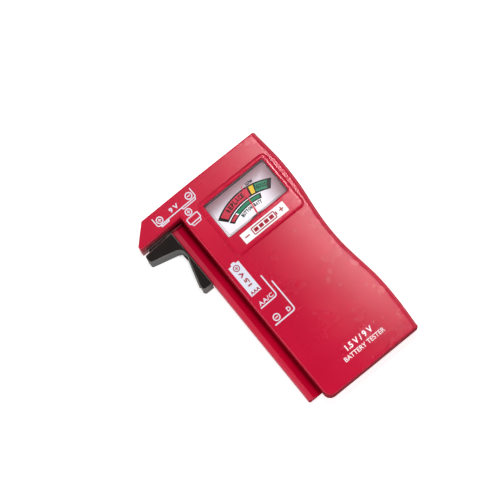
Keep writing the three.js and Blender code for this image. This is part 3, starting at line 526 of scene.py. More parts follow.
by_node = {
    "slide_contact_leaf": NICKEL, "slide_contact_rivet": NICKEL, "slide_wiper": BRASS, "negative_bus_strip": BRASS,
    "cell_positive_contact": NICKEL, "meter_case": CASE_BLACK, "yoke_seat": CASE_BLACK, "scale_plate": DIAL_PAINTED_SHADE,
    "yoke_ring": IRON, "core_magnet": MAGNET, "core_spacer_upper": BRASS, "core_spacer_lower": BRASS, "moving_coil": COPPER,
    "coil_staff_upper": STEEL, "coil_staff_lower": STEEL, "hairspring_upper": BRASS, "hairspring_lower": BRASS,
    "movement_bridge": BRASS, "jewel_bearing_upper": BRASS, "jewel_bearing_lower": BRASS, "meter_terminal_positive": BRASS,
    "meter_terminal_negative": BRASS, "circuit_board": BOARD, "load_resistor_cell": CERAMIC, "load_resistor_nine_volt": CERAMIC,
    "series_resistor": CERAMIC, "trimmer": W_BLUE, "wire_nine_volt_positive": W_RED, "wire_meter_positive": W_RED,
    "wire_cell_positive": W_BLUE, "wire_nine_volt_negative": W_BLACK, "wire_negative_bus": W_BLACK, "wire_meter_negative": W_BLACK,
    "pointer": NEEDLE, "rear_label": WHITE, "name_plate": WHITE, "nine_volt_contact_positive": NICKEL, "nine_volt_contact_negative": NICKEL,
}
for n, o in NODES.items():
    mt = by_node.get(n, STEEL if "screw" in n else None)
    if mt is None:
        mt = {"front_shell": RED, "rear_shell": RED, "slide_arm": BLACK, "meter_window": CLEAR}[n]
    paint(o, mt)
    if n in ("slide_contact_leaf", "cell_positive_contact", "scale_plate", "name_plate", "rear_label", "meter_case"):
        bv = o.modifiers.new("edge", "BEVEL")
        bv.width, bv.segments, bv.limit_method, bv.angle_limit = (0.00006, 2, "ANGLE", math.radians(50))

# ------------------------------------------------------------------ casing dimensions
RAIL_BOTTOM, RAIL_TOP, LIP_Z, LIP_W = 5.6, 99.7, 12.5, 2.5
TROUGH_X, TROUGH_Z, TROUGH_T, PART_Z, HEAD_BACK_Z, FRONT_Z = 6.5, 8.6, 1.4, 8.0, 6.0, 28.0
WALL, DRAFT, EDGE_R, SIDE_R, BACK_R = 2.0, 0.6, 0.7, 2.8, 1.3
FRAME_BOX, FRAME_TOP, FRAME_R = (14.8, 52.0, 71.6, 100.8), 29.1, 2.4
WINDOW = (17.2, 49.7, 80.9, 98.7)
PLATE, PLATE_T = (21.2, 44.7, 74.0, 78.9), 0.3
SIDE = [
    (2.6, 56.5), (7.8, 56.85), (12.9, 57.13), (18.0, 57.22), (23.2, 57.2), (28.3, 56.92), (33.4, 56.36),
    (38.5, 55.6), (43.7, 54.88), (48.8, 54.32), (53.9, 54.07), (59.1, 54.1), (64.2, 54.4), (69.3, 54.91),
    (74.5, 55.55), (79.6, 56.1), (84.7, 56.36), (89.8, 56.45), (95.0, 56.32), (100.1, 55.93), (105.2, 55.46), (108.0, 55.15),
]
SIDE_MAX, HSX, HSY = 57.23, -7.6, 102.6
SCREWS = [(13.5, 8.0), (50.0, 8.0), (50.5, 105.2), (12.9, 95.0)]
METER_SCREWS = [(19.5, 103.1), (45.3, 103.1), (19.5, 57.6), (45.3, 57.6)]
NINE_X, NINE_Z = (1.4, 14.1), 17.0

# ------------------------------------------------------------------ front shell
front_pts = outline([
    (7.0, BODY_BOTTOM, 3.6, 0.4, 0), (30, BODY_BOTTOM - 0.1, 0, EDGE_R, 0), (SIDE_MAX + 1, BODY_BOTTOM, 0, EDGE_R, 0),
    (SIDE_MAX + 1, 90, 0, EDGE_R, 0), (56.6, 96, 0, EDGE_R, 0), (55.02, BODY_TOP - 0.35, 2.4, EDGE_R, 0.15), (20, BODY_TOP, 0, EDGE_R, 0.15),
    (HSX, BODY_TOP - 0.1, 1.0, EDGE_R, 0.15), (HEAD_LEFT, HSY, 0.8, EDGE_R, 0.15), (HEAD_LEFT, HEAD_UNDER, 0.3, EDGE_R, 0.15),
    (6.3, HEAD_UNDER, 0, 1.0, 0.35),
])
side_hi = catmull(SIDE, 4)
side_trim = outline([(-60, -30, 0, SIDE_R, 0), (55.6, -30, 0, SIDE_R, DRAFT)] + [(x, y, 0, SIDE_R, DRAFT) for y, x in side_hi] +
                    [(54.2, 150, 0, SIDE_R, DRAFT), (-60, 150, 0, SIDE_R, 0)])


def fillet_rings(pts, steps, skew=0.0, groove=0.12, z0=PART_Z):
    out = [ring_at(pts, groove, z0)] if groove else []
    out.append([(*p.off(0), z0 + groove + (0 if groove else 0)) for p in pts])
    for k in range(steps + 1):
        t = k / steps * math.pi / 2
        out.append([(*p.off(p.d + p.f * (1 - math.cos(t))), FRONT_Z - p.f + p.f * math.sin(t) + skew) for p in pts])
    return out


front = rings_obj("front_shell_skin", fillet_rings(front_pts, 7))
boolean(front, rings_obj("side", fillet_rings(side_trim, 12, 0.09)), "INTERSECT")
inner = outline([(9.1, BODY_BOTTOM + WALL, 1.6)] + [(x - WALL - 0.1, max(y, BODY_BOTTOM + WALL) if i else BODY_BOTTOM + WALL) for i, (y, x) in enumerate(SIDE[1:-2])] +
                [(52.9, BODY_TOP - WALL - 0.3), (-6.8, BODY_TOP - WALL - 0.1), (-12.4, HEAD_UNDER + WALL), (8.4, HEAD_UNDER + WALL)], 5)
boolean(front, rings_obj("hollow", [ring_at(inner, 0, PART_Z - 0.5), ring_at(inner, DRAFT * 0.8, FRONT_Z - WALL - 1.2), ring_at(inner, DRAFT + 0.4, FRONT_Z - WALL - 0.3), ring_at(inner, DRAFT + 0.8, FRONT_Z - WALL)]))
boolean(front, prism_z("skirt", [(7.0, RAIL_BOTTOM), (9.2, RAIL_BOTTOM), (8.6, RAIL_TOP + 1.2), (6.3, RAIL_TOP + 1.2)], TROUGH_Z - TROUGH_T, PART_Z + 0.5), "UNION")
# rail's lip and trough, with the moulding's small roundings
sheet = [(0.12, PART_Z), (0.0, PART_Z + 0.12)] + arc(0.5, LIP_Z - 0.5, 0.5, 180, 90, 6) + arc(2.2, LIP_Z - 0.45, 0.45, 90, 45, 5)
sheet += [(TROUGH_X - 0.42, TROUGH_Z + 0.4)] + arc(TROUGH_X + 0.3, TROUGH_Z + 0.95, 0.95, 222, 270, 6)[1:] + [(8.8, TROUGH_Z), (8.8, TROUGH_Z - TROUGH_T), (5.66, TROUGH_Z - TROUGH_T), (1.6, 11.21), (1.6, PART_Z)]
boolean(front, prism_y("rail", sheet, RAIL_BOTTOM, RAIL_TOP), "UNION")
boolean(front, prism_y("rail_end", [(0.15, PART_Z), (0.05, PART_Z + 0.2), (0.05, LIP_Z - 0.6), (0.6, LIP_Z - 0.06), (LIP_W - 0.2, LIP_Z - 0.06), (4.9, PART_Z)], RAIL_BOTTOM + 0.02, RAIL_BOTTOM + 1.5), "UNION")
boolean(front, prism_y("rail_head", [(0.3, PART_Z + 0.05), (0.3, LIP_Z - 1.4), (0.8, LIP_Z - 1.0), (LIP_W, LIP_Z - 1.0), (4.3, PART_Z + 0.05)], RAIL_TOP - 1.6, HEAD_UNDER + 0.6), "UNION")
# rounded ends of the rail
r = 1.3
boolean(front, prism_x("round1", [(RAIL_BOTTOM - 2, LIP_Z + 1), (RAIL_BOTTOM + r, LIP_Z + 1)] + arc(RAIL_BOTTOM + r, LIP_Z - r, r, 90, 180, 8) + [(RAIL_BOTTOM - 2, LIP_Z - r)], -1, LIP_W + 1.2))
boolean(front, prism_z("round2", [(-1, RAIL_BOTTOM - 1), (0.8, RAIL_BOTTOM - 1)] + arc(0.8, RAIL_BOTTOM + 0.8, 0.8, 270, 180, 6) + [(-1, RAIL_BOTTOM + 0.8)], PART_Z - 1, LIP_Z + 1))
boolean(front, prism_z("round3", [(-1, RAIL_TOP + 0.01), (-1, RAIL_TOP - 1.2)] + arc(1.2, RAIL_TOP - 1.2, 1.2, 180, 90, 8) + [(1.2, RAIL_TOP + 0.01)], LIP_Z - 1.0, LIP_Z + 1))
# raised frame, blended into the face at its foot and rounded at its top
fr = outline([(FRAME_BOX[0], FRAME_BOX[2], FRAME_R), (FRAME_BOX[1], FRAME_BOX[2], FRAME_R), (FRAME_BOX[1], FRAME_BOX[3], FRAME_R), (FRAME_BOX[0], FRAME_BOX[3], FRAME_R)], 10)
prof = [(-0.22, FRONT_Z - 0.6), (-0.22, FRONT_Z - 0.01), (-0.08, FRONT_Z + 0.03), (0.02, FRONT_Z + 0.12), (0.30, FRAME_TOP - 0.34)]
prof += [(0.30 + 0.10 * k + 0.03 * k * k, FRAME_TOP - 0.34 + 0.34 * math.sin(k / 5 * math.pi / 2)) for k in range(1, 6)]
boolean(front, rings_obj("frame", [ring_at(fr, o_, z_) for o_, z_ in prof]), "UNION")


def cutter(name, b, z0, z1, flare, r=0.5, seg=5, n=6):
    """Cutter for a rectangular opening whose rim is rounded over by flare."""
    pts = outline([(b[0], b[2], r), (b[1], b[2], r), (b[1], b[3], r), (b[0], b[3], r)], seg)
    rr = [ring_at(pts, 0, z0), ring_at(pts, 0, z1 - flare)]
    for k in range(1, n + 1):
        t = k / n * math.pi / 2
        rr.append(ring_at(pts, -flare * (1 - math.cos(t)), z1 - flare + flare * math.sin(t)))
    rr.append(ring_at(pts, -flare - 0.12, z1 + 0.5))
    return rings_obj(name, rr)


boolean(front, cutter("win", WINDOW, FRONT_Z - 4, FRAME_TOP, 0.72, 0.7, n=9))
boolean(front, cutter("plate", (PLATE[0] - 0.12, PLATE[1] + 0.12, PLATE[2] - 0.12, PLATE[3] + 0.12), FRAME_TOP - PLATE_T, FRAME_TOP, 0.12, 0.25, 3, 3))
for i, (x, y) in enumerate(SCREWS):
    boolean(front, turned("b", "z", [(PART_Z + 0.2, 2.2), (PART_Z + 0.4, 2.4), (FRONT_Z - 1.5, 2.4)], x, y, 28), "UNION")
    boolean(front, turned("b", "z", [(PART_Z - 1, 1.45), (22, 1.45)], x, y, 24))
for i, (x, y) in enumerate(METER_SCREWS):
    boolean(front, turned("b", "z", [(13.1, 2.4), (FRONT_Z - 1.5, 2.4)], x, y, 24), "UNION")
    boolean(front, turned("b", "z", [(12, 0.95), (22, 0.95)], x, y, 20))
boolean(front, prism_y("pc", [(-12.8, 13.1), (-12.5, 12.8), (5.3, 12.8), (5.6, 13.1), (5.6, 17.6), (5.3, 17.9), (-12.5, 17.9), (-12.8, 17.6)], HEAD_UNDER - 1, HEAD_UNDER + 0.35))
boolean(front, prism_y("pt", [(-6.2, 15.8), (-1.8, 15.8), (-1.8, 17.0), (-6.2, 17.0)], HEAD_UNDER - 1, HEAD_UNDER + 3))
for x in NINE_X:
    boolean(front, turned("nv", "y", [(BODY_TOP - 0.75, 3.6), (BODY_TOP - 0.32, 3.6), (BODY_TOP - 0.1, 3.75), (BODY_TOP + 1, 4.7)], x, NINE_Z, 48))
    boolean(front, turned("nv", "y", [(BODY_TOP - 4, 1.35), (BODY_TOP + 1, 1.35)], x, NINE_Z, 24))
smooth(front)
paint(front, RED)
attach(front, "casing"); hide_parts("front_shell")

# ------------------------------------------------------------------ rear shell
rear_pts = outline([
    (0, RAIL_BOTTOM, 0.8), (7.0, RAIL_BOTTOM), (7.0, BODY_BOTTOM, 3.6), (30, BODY_BOTTOM - 0.1), (SIDE_MAX + 1, BODY_BOTTOM),
    (SIDE_MAX + 1, 90), (56.6, 96), (55.02, BODY_TOP - 0.35, 2.4), (20, BODY_TOP), (0, BODY_TOP - 0.07, 0.8)])


def back_rings(pts, rr, steps, z0=0.0, z1=PART_Z - 0.05, skew=0.0, groove=0.12):
    out = [ring_at(pts, rr * (1 - math.sin(k / steps * math.pi / 2)), z0 + rr * (1 - math.cos(k / steps * math.pi / 2)) + skew) for k in range(steps + 1)]
    out += [ring_at(pts, 0, z1 - groove), ring_at(pts, groove, z1)]
    return out


rear = rings_obj("rear_shell_skin", back_rings(rear_pts, BACK_R, 7))
boolean(rear, rings_obj("side", back_rings(side_trim, BACK_R, 7, skew=-0.02)), "INTERSECT")
head_pts = outline([(HEAD_LEFT, HEAD_UNDER, 0.5), (1.5, HEAD_UNDER), (1.5, BODY_TOP - 0.07), (HSX, BODY_TOP - 0.1, 1.0), (HEAD_LEFT, HSY, 0.8)])
boolean(rear, rings_obj("head", back_rings(head_pts, 0.6, 5, HEAD_BACK_Z)), "UNION")
rin = outline([(1.8, RAIL_BOTTOM + 1.6), (9.1, RAIL_BOTTOM + 1.6), (9.1, BODY_BOTTOM + WALL)] +
              [(x - WALL, y if i else BODY_BOTTOM + WALL) for i, (y, x) in enumerate(SIDE[1:-2])] + [(52.9, BODY_TOP - WALL - 0.3), (1.8, BODY_TOP - WALL - 0.1)])
boolean(rear, rings_obj("hollow", [ring_at(rin, 0.3, WALL), ring_at(rin, 0, WALL + 0.5), ring_at(rin, 0, PART_Z + 1)]))
zb = TROUGH_Z - TROUGH_T - 0.15
boolean(rear, prism_y("clear", [(2.4, PART_Z + 1.3), (5.56, zb), (9.4, zb), (9.4, PART_Z + 1.3)], RAIL_BOTTOM - 1, RAIL_TOP + 0.9))
boolean(rear, prism_x("slot", [(9.0, 5.5 + 0.25), (9.25, 5.5), (97.95, 5.5), (98.2, 5.75), (98.2, PART_Z + 1), (9.0, PART_Z + 1)], -1, 2.3))
for x, y in SCREWS:
    boolean(rear, turned("b", "z", [(1.0, 3.4), (PART_Z - 0.1, 3.4)], x, y, 32), "UNION")
    boolean(rear, turned("b", "z", [(-1, 1.7), (PART_Z + 1, 1.7)], x, y, 24))
    boolean(rear, turned("b", "z", [(-1, 3.9), (0.0, 3.05), (0.25, 2.8), (4.2, 2.8)], x, y, 40))
for x, y in [(15.0, 25.0), (44.0, 49.0)]:
    boolean(rear, turned("b", "z", [(1.0, 2.4), (4.9, 2.4)], x, y, 24), "UNION")
    boolean(rear, turned("b", "z", [(2.6, 0.9), (6, 0.9)], x, y, 16))
lab = outline([(15.9, 33.9, 1.0), (48.1, 33.9, 1.0), (48.1, 66.1, 1.0), (15.9, 66.1, 1.0)], 4)
boolean(rear, rings_obj("label", [ring_at(lab, 0, -1), ring_at(lab, 0, 0.35)]))
for k in range(6):
    y0 = 80.0 + 2.6 * k
    boolean(rear, prism_x("g", [(y0 - 0.2, -1), (y0, 0.15), (y0 + 0.25, 0.45), (y0 + 0.95, 0.45), (y0 + 1.2, 0.15), (y0 + 1.4, -1)], 20.0, 50.0))
smooth(rear)
paint(rear, RED)
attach(rear, "casing"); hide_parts("rear_shell")

# ------------------------------------------------------------------ sliding arm
arm_pts = outline([
    (-0.4, 71.1, 0.25), (-0.4, 99.45, 0.3), (-2.6, 99.32), (-13.75, 98.78), (-15.7, 98.66, 1.1), (-15.75, 95.0, 1.0),
    (-3.8, 91.95), (-2.3, 91.2), (-1.45, 90.1), (-1.15, 88.8), (-1.3, 87.2), (-5.0, 74.4), (-5.62, 71.1, 1.35),
], 8)
E = 0.38
arm_rings = [ring_at(arm_pts, E * (1 - math.sin(t)), 1.0 + E * (1 - math.cos(t))) for t in np.linspace(0, math.pi / 2, 5)]
arm_rings += [ring_at(arm_pts, E * (1 - math.cos(t)), 20.0 - E + E * math.sin(t)) for t in np.linspace(0, math.pi / 2, 5)]
arm = rings_obj("slide_arm_skin", arm_rings)
# moulded grip ridges down the sloped side
a0, b0, nr = (-1.33, 86.5), (-5.0, 74.3), 9
for k in range(nr):
    s = (k + 0.5) / nr
    cx, cy = a0[0] + (b0[0] - a0[0]) * s, a0[1] + (b0[1] - a0[1]) * s
    prof = [(1.35, 0.2), (1.6, 0.38), (1.9, 0.45), (19.3, 0.45), (19.6, 0.38), (19.8, 0.2)]
    boolean(arm, turned("ridge", "z", prof, cx - 0.14, cy + 0.04, 16), "UNION")
pad = outline([(-3.2, 97.0), (-0.4, 97.0), (-0.4, 99.6, 0.1), (-3.2, 99.6, 0.1)], 3)
boolean(arm, rings_obj("pad", [ring_at(pad, 0, 13.0), ring_at(pad, 0, 19.3), ring_at(pad, 0.15, 19.5)]), "UNION")
boolean(arm, prism_z("p1", [(-2.4, 97.3), (-12.8, 96.7), (-12.9, 96.3), (-2.4, 93.3)], -1, 12.0))
boolean(arm, prism_z("p2", [(-2.0, 86.0), (-3.4, 76.4), (-2.0, 75.0)], -1, 12.0))
boolean(arm, prism_z("neck", [(-0.6, 74.0), (2.2, 74.0), (2.2, 96.6), (-0.6, 96.6)], 5.8, 7.7), "UNION")
boolean(arm, prism_z("foot", [(1.95, 74.2), (2.15, 74.0), (2.95, 74.0), (3.15, 74.2), (3.15, 96.4), (2.95, 96.6), (2.15, 96.6), (1.95, 96.4)], 3.3, 7.5), "UNION")
boolean(arm, turned("rv", "y", [(96.2, 0.65), (100, 0.65)], -1.9, 16.2, 18))
smooth(arm, 38)
paint(arm, BLACK)
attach(arm, "sliding_arm"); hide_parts("slide_arm")

# ------------------------------------------------------------------ meter window: clear cup with a polished rounded rim
wb = (WINDOW[0] + 0.3, WINDOW[1] - 0.3, WINDOW[2] + 0.3, WINDOW[3] - 0.3)
wp = outline([(wb[0], wb[2], 0.5), (wb[1], wb[2], 0.5), (wb[1], wb[3], 0.5), (wb[0], wb[3], 0.5)], 6)
win = rings_obj("meter_window_skin", [ring_at(wp, 0, 24.9), ring_at(wp, 0, 27.4)] + [ring_at(wp, 0.35 * (1 - math.cos(t)), 27.4 + 0.35 * math.sin(t)) for t in np.linspace(0, math.pi / 2, 7)[1:]])
fl = outline([(16.2, 80.0, 0.4), (50.4, 80.0, 0.4), (50.4, 99.1, 0.4), (16.2, 99.1, 0.4)], 4)
boolean(win, rings_obj("fl", [ring_at(fl, 0, 24.9), ring_at(fl, 0, 25.8)]), "UNION")
ip = outline([(wb[0] + 0.7, wb[2] + 0.7, 0.5), (wb[1] - 0.7, wb[2] + 0.7, 0.5), (wb[1] - 0.7, wb[3] - 0.7, 0.5), (wb[0] + 0.7, wb[3] - 0.7, 0.5)], 5)
boolean(win, rings_obj("ip", [ring_at(ip, -0.1, 24), ring_at(ip, 0, 26.4)] + [ring_at(ip, 0.3 * (1 - math.cos(t)), 26.4 + 0.3 * math.sin(t)) for t in np.linspace(0, math.pi / 2, 5)[1:]]))
smooth(win, 30)
paint(win, CLEAR)
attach(win, "casing"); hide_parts("meter_window")

# ------------------------------------------------------------------ 9 V snap contacts: turned studs with a rolled rim
for x, n in ((NINE_X[0], "nine_volt_contact_positive"), (NINE_X[1], "nine_volt_contact_negative")):
    t = BODY_TOP
    c = turned(n + "_skin", "y", [(t - 5.2, 0.9), (t - 5.0, 1.2), (t - 0.72, 1.2), (t - 0.7, 3.1), (t - 0.6, 3.3), (t - 0.32, 3.3), (t - 0.22, 3.2), (t - 0.2, 3.0),
                                  (t - 0.2, 2.0), (t - 0.24, 1.85), (t - 0.42, 1.7), (t - 0.45, 1.4), (t - 0.45, 0.5)], x, NINE_Z, 48)
    smooth(c, 35)
    paint(c, NICKEL)
    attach(c, "casing"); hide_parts(n)


# ------------------------------------------------------------------ printing
PX = 2.345


def F(u, v):
    """Layout units of the printing on the front face to mm."""
    return ((u - 49.2) / PX, (296.0 - v) / PX)


class Print:
    """Gathers flat shapes into one closed, very thin mesh lying on a plane at height z."""

    def __init__(s, name, z, t=0.03):
        s.name, s.z, s.t, s.bm = name, z, t, bmesh.new()
        s.step = 0.0008

    def poly(s, pts):
        pts = ccw(pts)
        s.t += s.step
        lo = [s.bm.verts.new(W(p[0], p[1], s.z - 0.01)) for p in pts]
        hi = [s.bm.verts.new(W(p[0], p[1], s.z + s.t)) for p in pts]
        n = len(pts)
        for i in range(n):
            j = (i + 1) % n
            s.bm.faces.new((lo[i], lo[j], hi[j], hi[i]))
        s.bm.faces.new(list(reversed(lo)))
        s.bm.faces.new(hi)

    def band(s, left, right, closed=False):
        """Strip between two point rows of equal count."""
        n = len(left)
        s.t += s.step
        q = [[s.bm.verts.new(W(p[0], p[1], z)) for p in row] for z in (s.z - 0.01, s.z + s.t) for row in (left, right)]
        L0, R0, L1, R1 = q
        rng = range(n if closed else n - 1)
        for i in rng:
            j = (i + 1) % n
            s.bm.faces.new((L1[i], R1[i], R1[j], L1[j]))
            s.bm.faces.new((L0[i], L0[j], R0[j], R0[i]))
            s.bm.faces.new((L0[i], L1[i], L1[j], L0[j]))
            s.bm.faces.new((R0[i], R0[j], R1[j], R1[i]))
        if not closed:
            s.bm.faces.new((L0[0], R0[0], R1[0], L1[0]))
            s.bm.faces.new((L0[-1], L1[-1], R1[-1], R0[-1]))

    def line(s, pts, w, closed=False, caps=True):
        P = [np.array(p, float) for p in pts]
        n = len(P)
        L, R = [], []
        for i in range(n):
            a = P[i - 1] if (i or closed) else None
            b = P[(i + 1) % n] if (i < n - 1 or closed) else None
            u = (P[i] - a) / np.linalg.norm(P[i] - a) if a is not None else None
            v = (b - P[i]) / np.linalg.norm(b - P[i]) if b is not None else None
            if u is None: u = v
            if v is None: v = u
            nu, nv = np.array([-u[1], u[0]]), np.array([-v[1], v[0]])
            m = nu + nv; m /= max(1e-9, np.linalg.norm(m))
            k = 1 / max(0.4, float(m @ nu))
            L.append(P[i] + m * k * w / 2); R.append(P[i] - m * k * w / 2)
        if caps and not closed:
            u = (P[0] - P[1]) / np.linalg.norm(P[0] - P[1]); L[0] = L[0] + u * w * 0.35; R[0] = R[0] + u * w * 0.35
            u = (P[-1] - P[-2]) / np.linalg.norm(P[-1] - P[-2]); L[-1] = L[-1] + u * w * 0.35; R[-1] = R[-1] + u * w * 0.35
        s.band(R, L, closed)

    def circle(s, c, r, w, n=36):
        s.line([(c[0] + r * math.cos(2 * math.pi * i / n), c[1] + r * math.sin(2 * math.pi * i / n)) for i in range(n)], w, closed=True)

    def dot(s, c, r, n=20):
        s.poly([(c[0] + r * math.cos(2 * math.pi * i / n), c[1] + r * math.sin(2 * math.pi * i / n)) for i in range(n)])

    def text(s, body, centre, height, width=None, angle=0.0, bold=0.0, spacing=1.0):
        """Generic lettering in Blender's own font, fitted to a height and width, centred."""
        cu = bpy.data.curves.new("t", "FONT")
        cu.body, cu.size, cu.resolution_u = body, 1.0, 4
        cu.offset = bold
        cu.space_character = spacing
        ob = bpy.data.objects.new("t", cu)
        bpy.context.scene.collection.objects.link(ob)
        dg = bpy.context.evaluated_depsgraph_get()
        me = bpy.data.meshes.new_from_object(ob.evaluated_get(dg))
        co = np.array([v.co for v in me.vertices], float)[:, :2]
        lo, hi = co.min(0), co.max(0)
        sy = height / (hi[1] - lo[1])
        sx = width / (hi[0] - lo[0]) if width else sy
        a = math.radians(angle)
        q = (co - (lo + hi) / 2) * np.array([sx, sy])
        q = np.stack([q[:, 0] * math.cos(a) - q[:, 1] * math.sin(a) + centre[0], q[:, 0] * math.sin(a) + q[:, 1] * math.cos(a) + centre[1]], 1)
        tb = bmesh.new()
        tb.from_mesh(me)
        tb.verts.ensure_lookup_table()
        bmesh.ops.remove_doubles(tb, verts=tb.verts, dist=1e-5)
        tb.verts.ensure_lookup_table()
        # map by position
        from mathutils.kdtree import KDTree
        kd = KDTree(len(co))
        for i, c_ in enumerate(co):
            kd.insert((c_[0], c_[1], 0), i)
        kd.balance()
        idx = {}
        for v in tb.verts:
            idx[v.index] = kd.find((v.co.x, v.co.y, 0))[1]
        lo_v = {v.index: s.bm.verts.new(W(*q[idx[v.index]], s.z - 0.01)) for v in tb.verts}
        hi_v = {v.index: s.bm.verts.new(W(*q[idx[v.index]], s.z + s.t)) for v in tb.verts}
        for f in tb.faces:
            ids = [v.index for v in f.verts]
            if f.normal.z < 0:
                ids.reverse()
            s.bm.faces.new([hi_v[i] for i in ids])
            s.bm.faces.new([lo_v[i] for i in reversed(ids)])
        for e in tb.edges:
            if len(e.link_faces) == 1:
                f = e.link_faces[0]
                for l in f.loops:
                    if l.edge == e:
                        a_, b_ = l.vert.index, l.link_loop_next.vert.index
                        if f.normal.z < 0:
                            a_, b_ = b_, a_
                        s.bm.faces.new((lo_v[a_], lo_v[b_], hi_v[b_], hi_v[a_]))
        tb.free()
        bpy.data.objects.remove(ob, do_unlink=True)
        bpy.data.curves.remove(cu)
        bpy.data.meshes.remove(me)

    def done(s, mt, body="casing"):
        me = bpy.data.meshes.new(s.name)
        s.bm.to_mesh(me)
        s.bm.free()
        o = link(s.name, me)
        paint(o, mt)
        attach(o, body)
        return o


def bend(p, c, q, r, n=6):
    """Corner p-c-q rounded by r."""
    p, c, q = (np.array(t, float) for t in (p, c, q))
    u, v = (p - c) / np.linalg.norm(p - c), (q - c) / np.linalg.norm(q - c)
    a, b = c + u * r, c + v * r
    return [tuple(p)] + [tuple((1 - t) ** 2 * a + 2 * t * (1 - t) * c + t * t * b) for t in np.linspace(0, 1, n)] + [tuple(q)]


LW = 0.5
P = Print("legend_lines", FRONT_Z)
# 9 V outline with its two terminals
path = bend(F(41.0, 42.6), F(41.3, 52.7), F(66, 52.35), 1.0)[:-1] + bend(F(66, 52.35), F(90.2, 51.9), F(90.0, 42.0), 1.0)[1:]
P.line(path, LW)
for k in range(5):
    u = 45.3 + 1.95 * k
    P.line([F(u, 53.2), F(u + 0.3, 54.7)], 0.42)
P.line([F(44.6, 54.8), F(53.6, 54.6)], LW * 0.8)
P.line([F(44.3, 53.2), F(44.9, 54.8)], LW * 0.8)
P.line([F(54.5, 53.0), F(53.5, 54.7)], LW * 0.8)
P.line([F(71.6, 52.6), F(72.6, 54.35), F(88.0, 54.1), F(88.9, 52.3)], LW * 0.9)
for c in (F(46.6, 47.9), F(74.4, 59.8)):
    P.circle(c, 1.42, 0.5)
    P.line([(c[0] - 0.62, c[1]), (c[0] + 0.62, c[1])], 0.42)
    P.line([(c[0], c[1] - 0.62), (c[0], c[1] + 0.62)], 0.42)
for c in (F(84.6, 47.1), F(76.0, 198.0)):
    P.circle(c, 1.45, 0.5)
    P.line([(c[0] - 0.62, c[1]), (c[0] + 0.62, c[1])], 0.46)
# button cell
q = [F(67.6, 65.0), F(81.2, 64.6), F(81.4, 71.0), F(67.8, 71.5)]
ring = []
for i in range(4):
    ring += bend(q[i - 1], q[i], q[(i + 1) % 4], 0.55, 5)[1:-1]
P.line(ring, LW, closed=True)
q = [F(69.3, 71.6), F(79.9, 71.2), F(79.6, 73.9), F(70.0, 74.2)]
ring = []
for i in range(4):
    ring += bend(q[i - 1], q[i], q[(i + 1) % 4], 0.3, 4)[1:-1]
P.line(ring, LW * 0.8, closed=True)
# end marks of the cells
P.line(bend(F(69.8, 181.5), F(90.6, 181.1), F(90.2, 156.0), 1.5), 0.6)
P.line(bend(F(70.3, 203.8), F(95.8, 203.5), F(95.4, 167.0), 1.5), 0.6)
P.done(INK_LIGHT)
P = Print("legend_text", FRONT_Z)
P.text("9 V", F(65.3, 47.2), 2.15, 4.6, 0.7, 0.035)
P.text("AA/C", F(79.0, 177.3), 1.9, 7.5, 0.7, 0.02, 1.12)
P.text("D", F(90.6, 198.9), 2.0, 1.75, 0.7, 0.035)
P.done(INK_LIGHT)
P = Print("legend_cell", FRONT_Z, 0.025)
P.poly([F(69.0, 130.0), F(82.1, 129.7), F(82.4, 166.4), F(69.5, 166.7)])
P.poly([F(73.1, 130.2), F(73.1, 128.6), F(73.9, 127.7), F(77.2, 127.6), F(78.1, 128.4), F(78.2, 130.2)])
P.done(INK_LIGHT)
P = Print("legend_cell_text", FRONT_Z + 0.025, 0.02)
c = F(75.7, 134.7)
P.circle(c, 1.32, 0.42)
P.line([(c[0] - 0.6, c[1]), (c[0] + 0.6, c[1])], 0.38)
P.line([(c[0], c[1] - 0.6), (c[0], c[1] + 0.6)], 0.38)
P.text("1.5 V", F(75.9, 148.4), 2.0, 7.2, 90.7, 0.045)
P.text("AAA", F(76.1, 163.8), 1.5, 4.7, 0.7, 0.04, 1.15)
P.done(INK_RED)
P = Print("title_text", FRONT_Z)
P.text("1.5 V / 9 V", F(126.3, 266.0), 2.85, 14.2, 0.4, 0.03)
P.text("BATTERY TESTER", F(126.6, 274.7), 2.1, 21.6, 0.4, 0.008)
P.done(INK_WHITE)

# name plate: a plain battery sign between two bars of text-free rule
P = Print("plate_sign", FRAME_TOP, 0.02)
cx, cy = (PLATE[0] + PLATE[1]) / 2, (PLATE[2] + PLATE[3]) / 2
q = [(cx - 6.2, cy - 1.55), (cx + 5.8, cy - 1.55), (cx + 5.8, cy + 1.55), (cx - 6.2, cy + 1.55)]
ring = []
for i in range(4):
    ring += bend(q[i - 1], q[i], q[(i + 1) % 4], 0.4, 5)[1:-1]
P.line(ring, 0.5, closed=True)
P.poly([(cx + 6.15, cy - 0.75), (cx + 6.85, cy - 0.75), (cx + 6.85, cy + 0.75), (cx + 6.15, cy + 0.75)])
for k in range(4):
    x = cx - 5.45 + 2.75 * k
    P.poly([(x, cy - 0.85), (x + 2.15, cy - 0.85), (x + 2.15, cy + 0.85), (x, cy + 0.85)])
P.line([(cx - 10.3, cy), (cx - 8.2, cy)], 0.55)
h, g = 1.05, 0.275
c = (cx + 9.25, cy)
P.poly([(c[0] - h, cy - g), (c[0] - g, cy - g), (c[0] - g, cy - h), (c[0] + g, cy - h), (c[0] + g, cy - g), (c[0] + h, cy - g), (c[0] + h, cy + g), (c[0] + g, cy + g), (c[0] + g, cy + h), (c[0] - g, cy + h), (c[0] - g, cy + g), (c[0] - h, cy + g)])
P.done(INK_RED)

# ------------------------------------------------------------------ scale plate printing
DT = 21.3       # front of the scale plate
KD = (FRONT_Z - DT) / (1100.0 + FRONT_Z - DT)


def G(u, v):
    """Layout units of the scale, seen through the window, to mm on the plate."""
    return (((u + 38 * KD) / (1 - KD) - 49.2) / PX, (296.0 - (v - 400 * KD) / (1 - KD)) / PX)


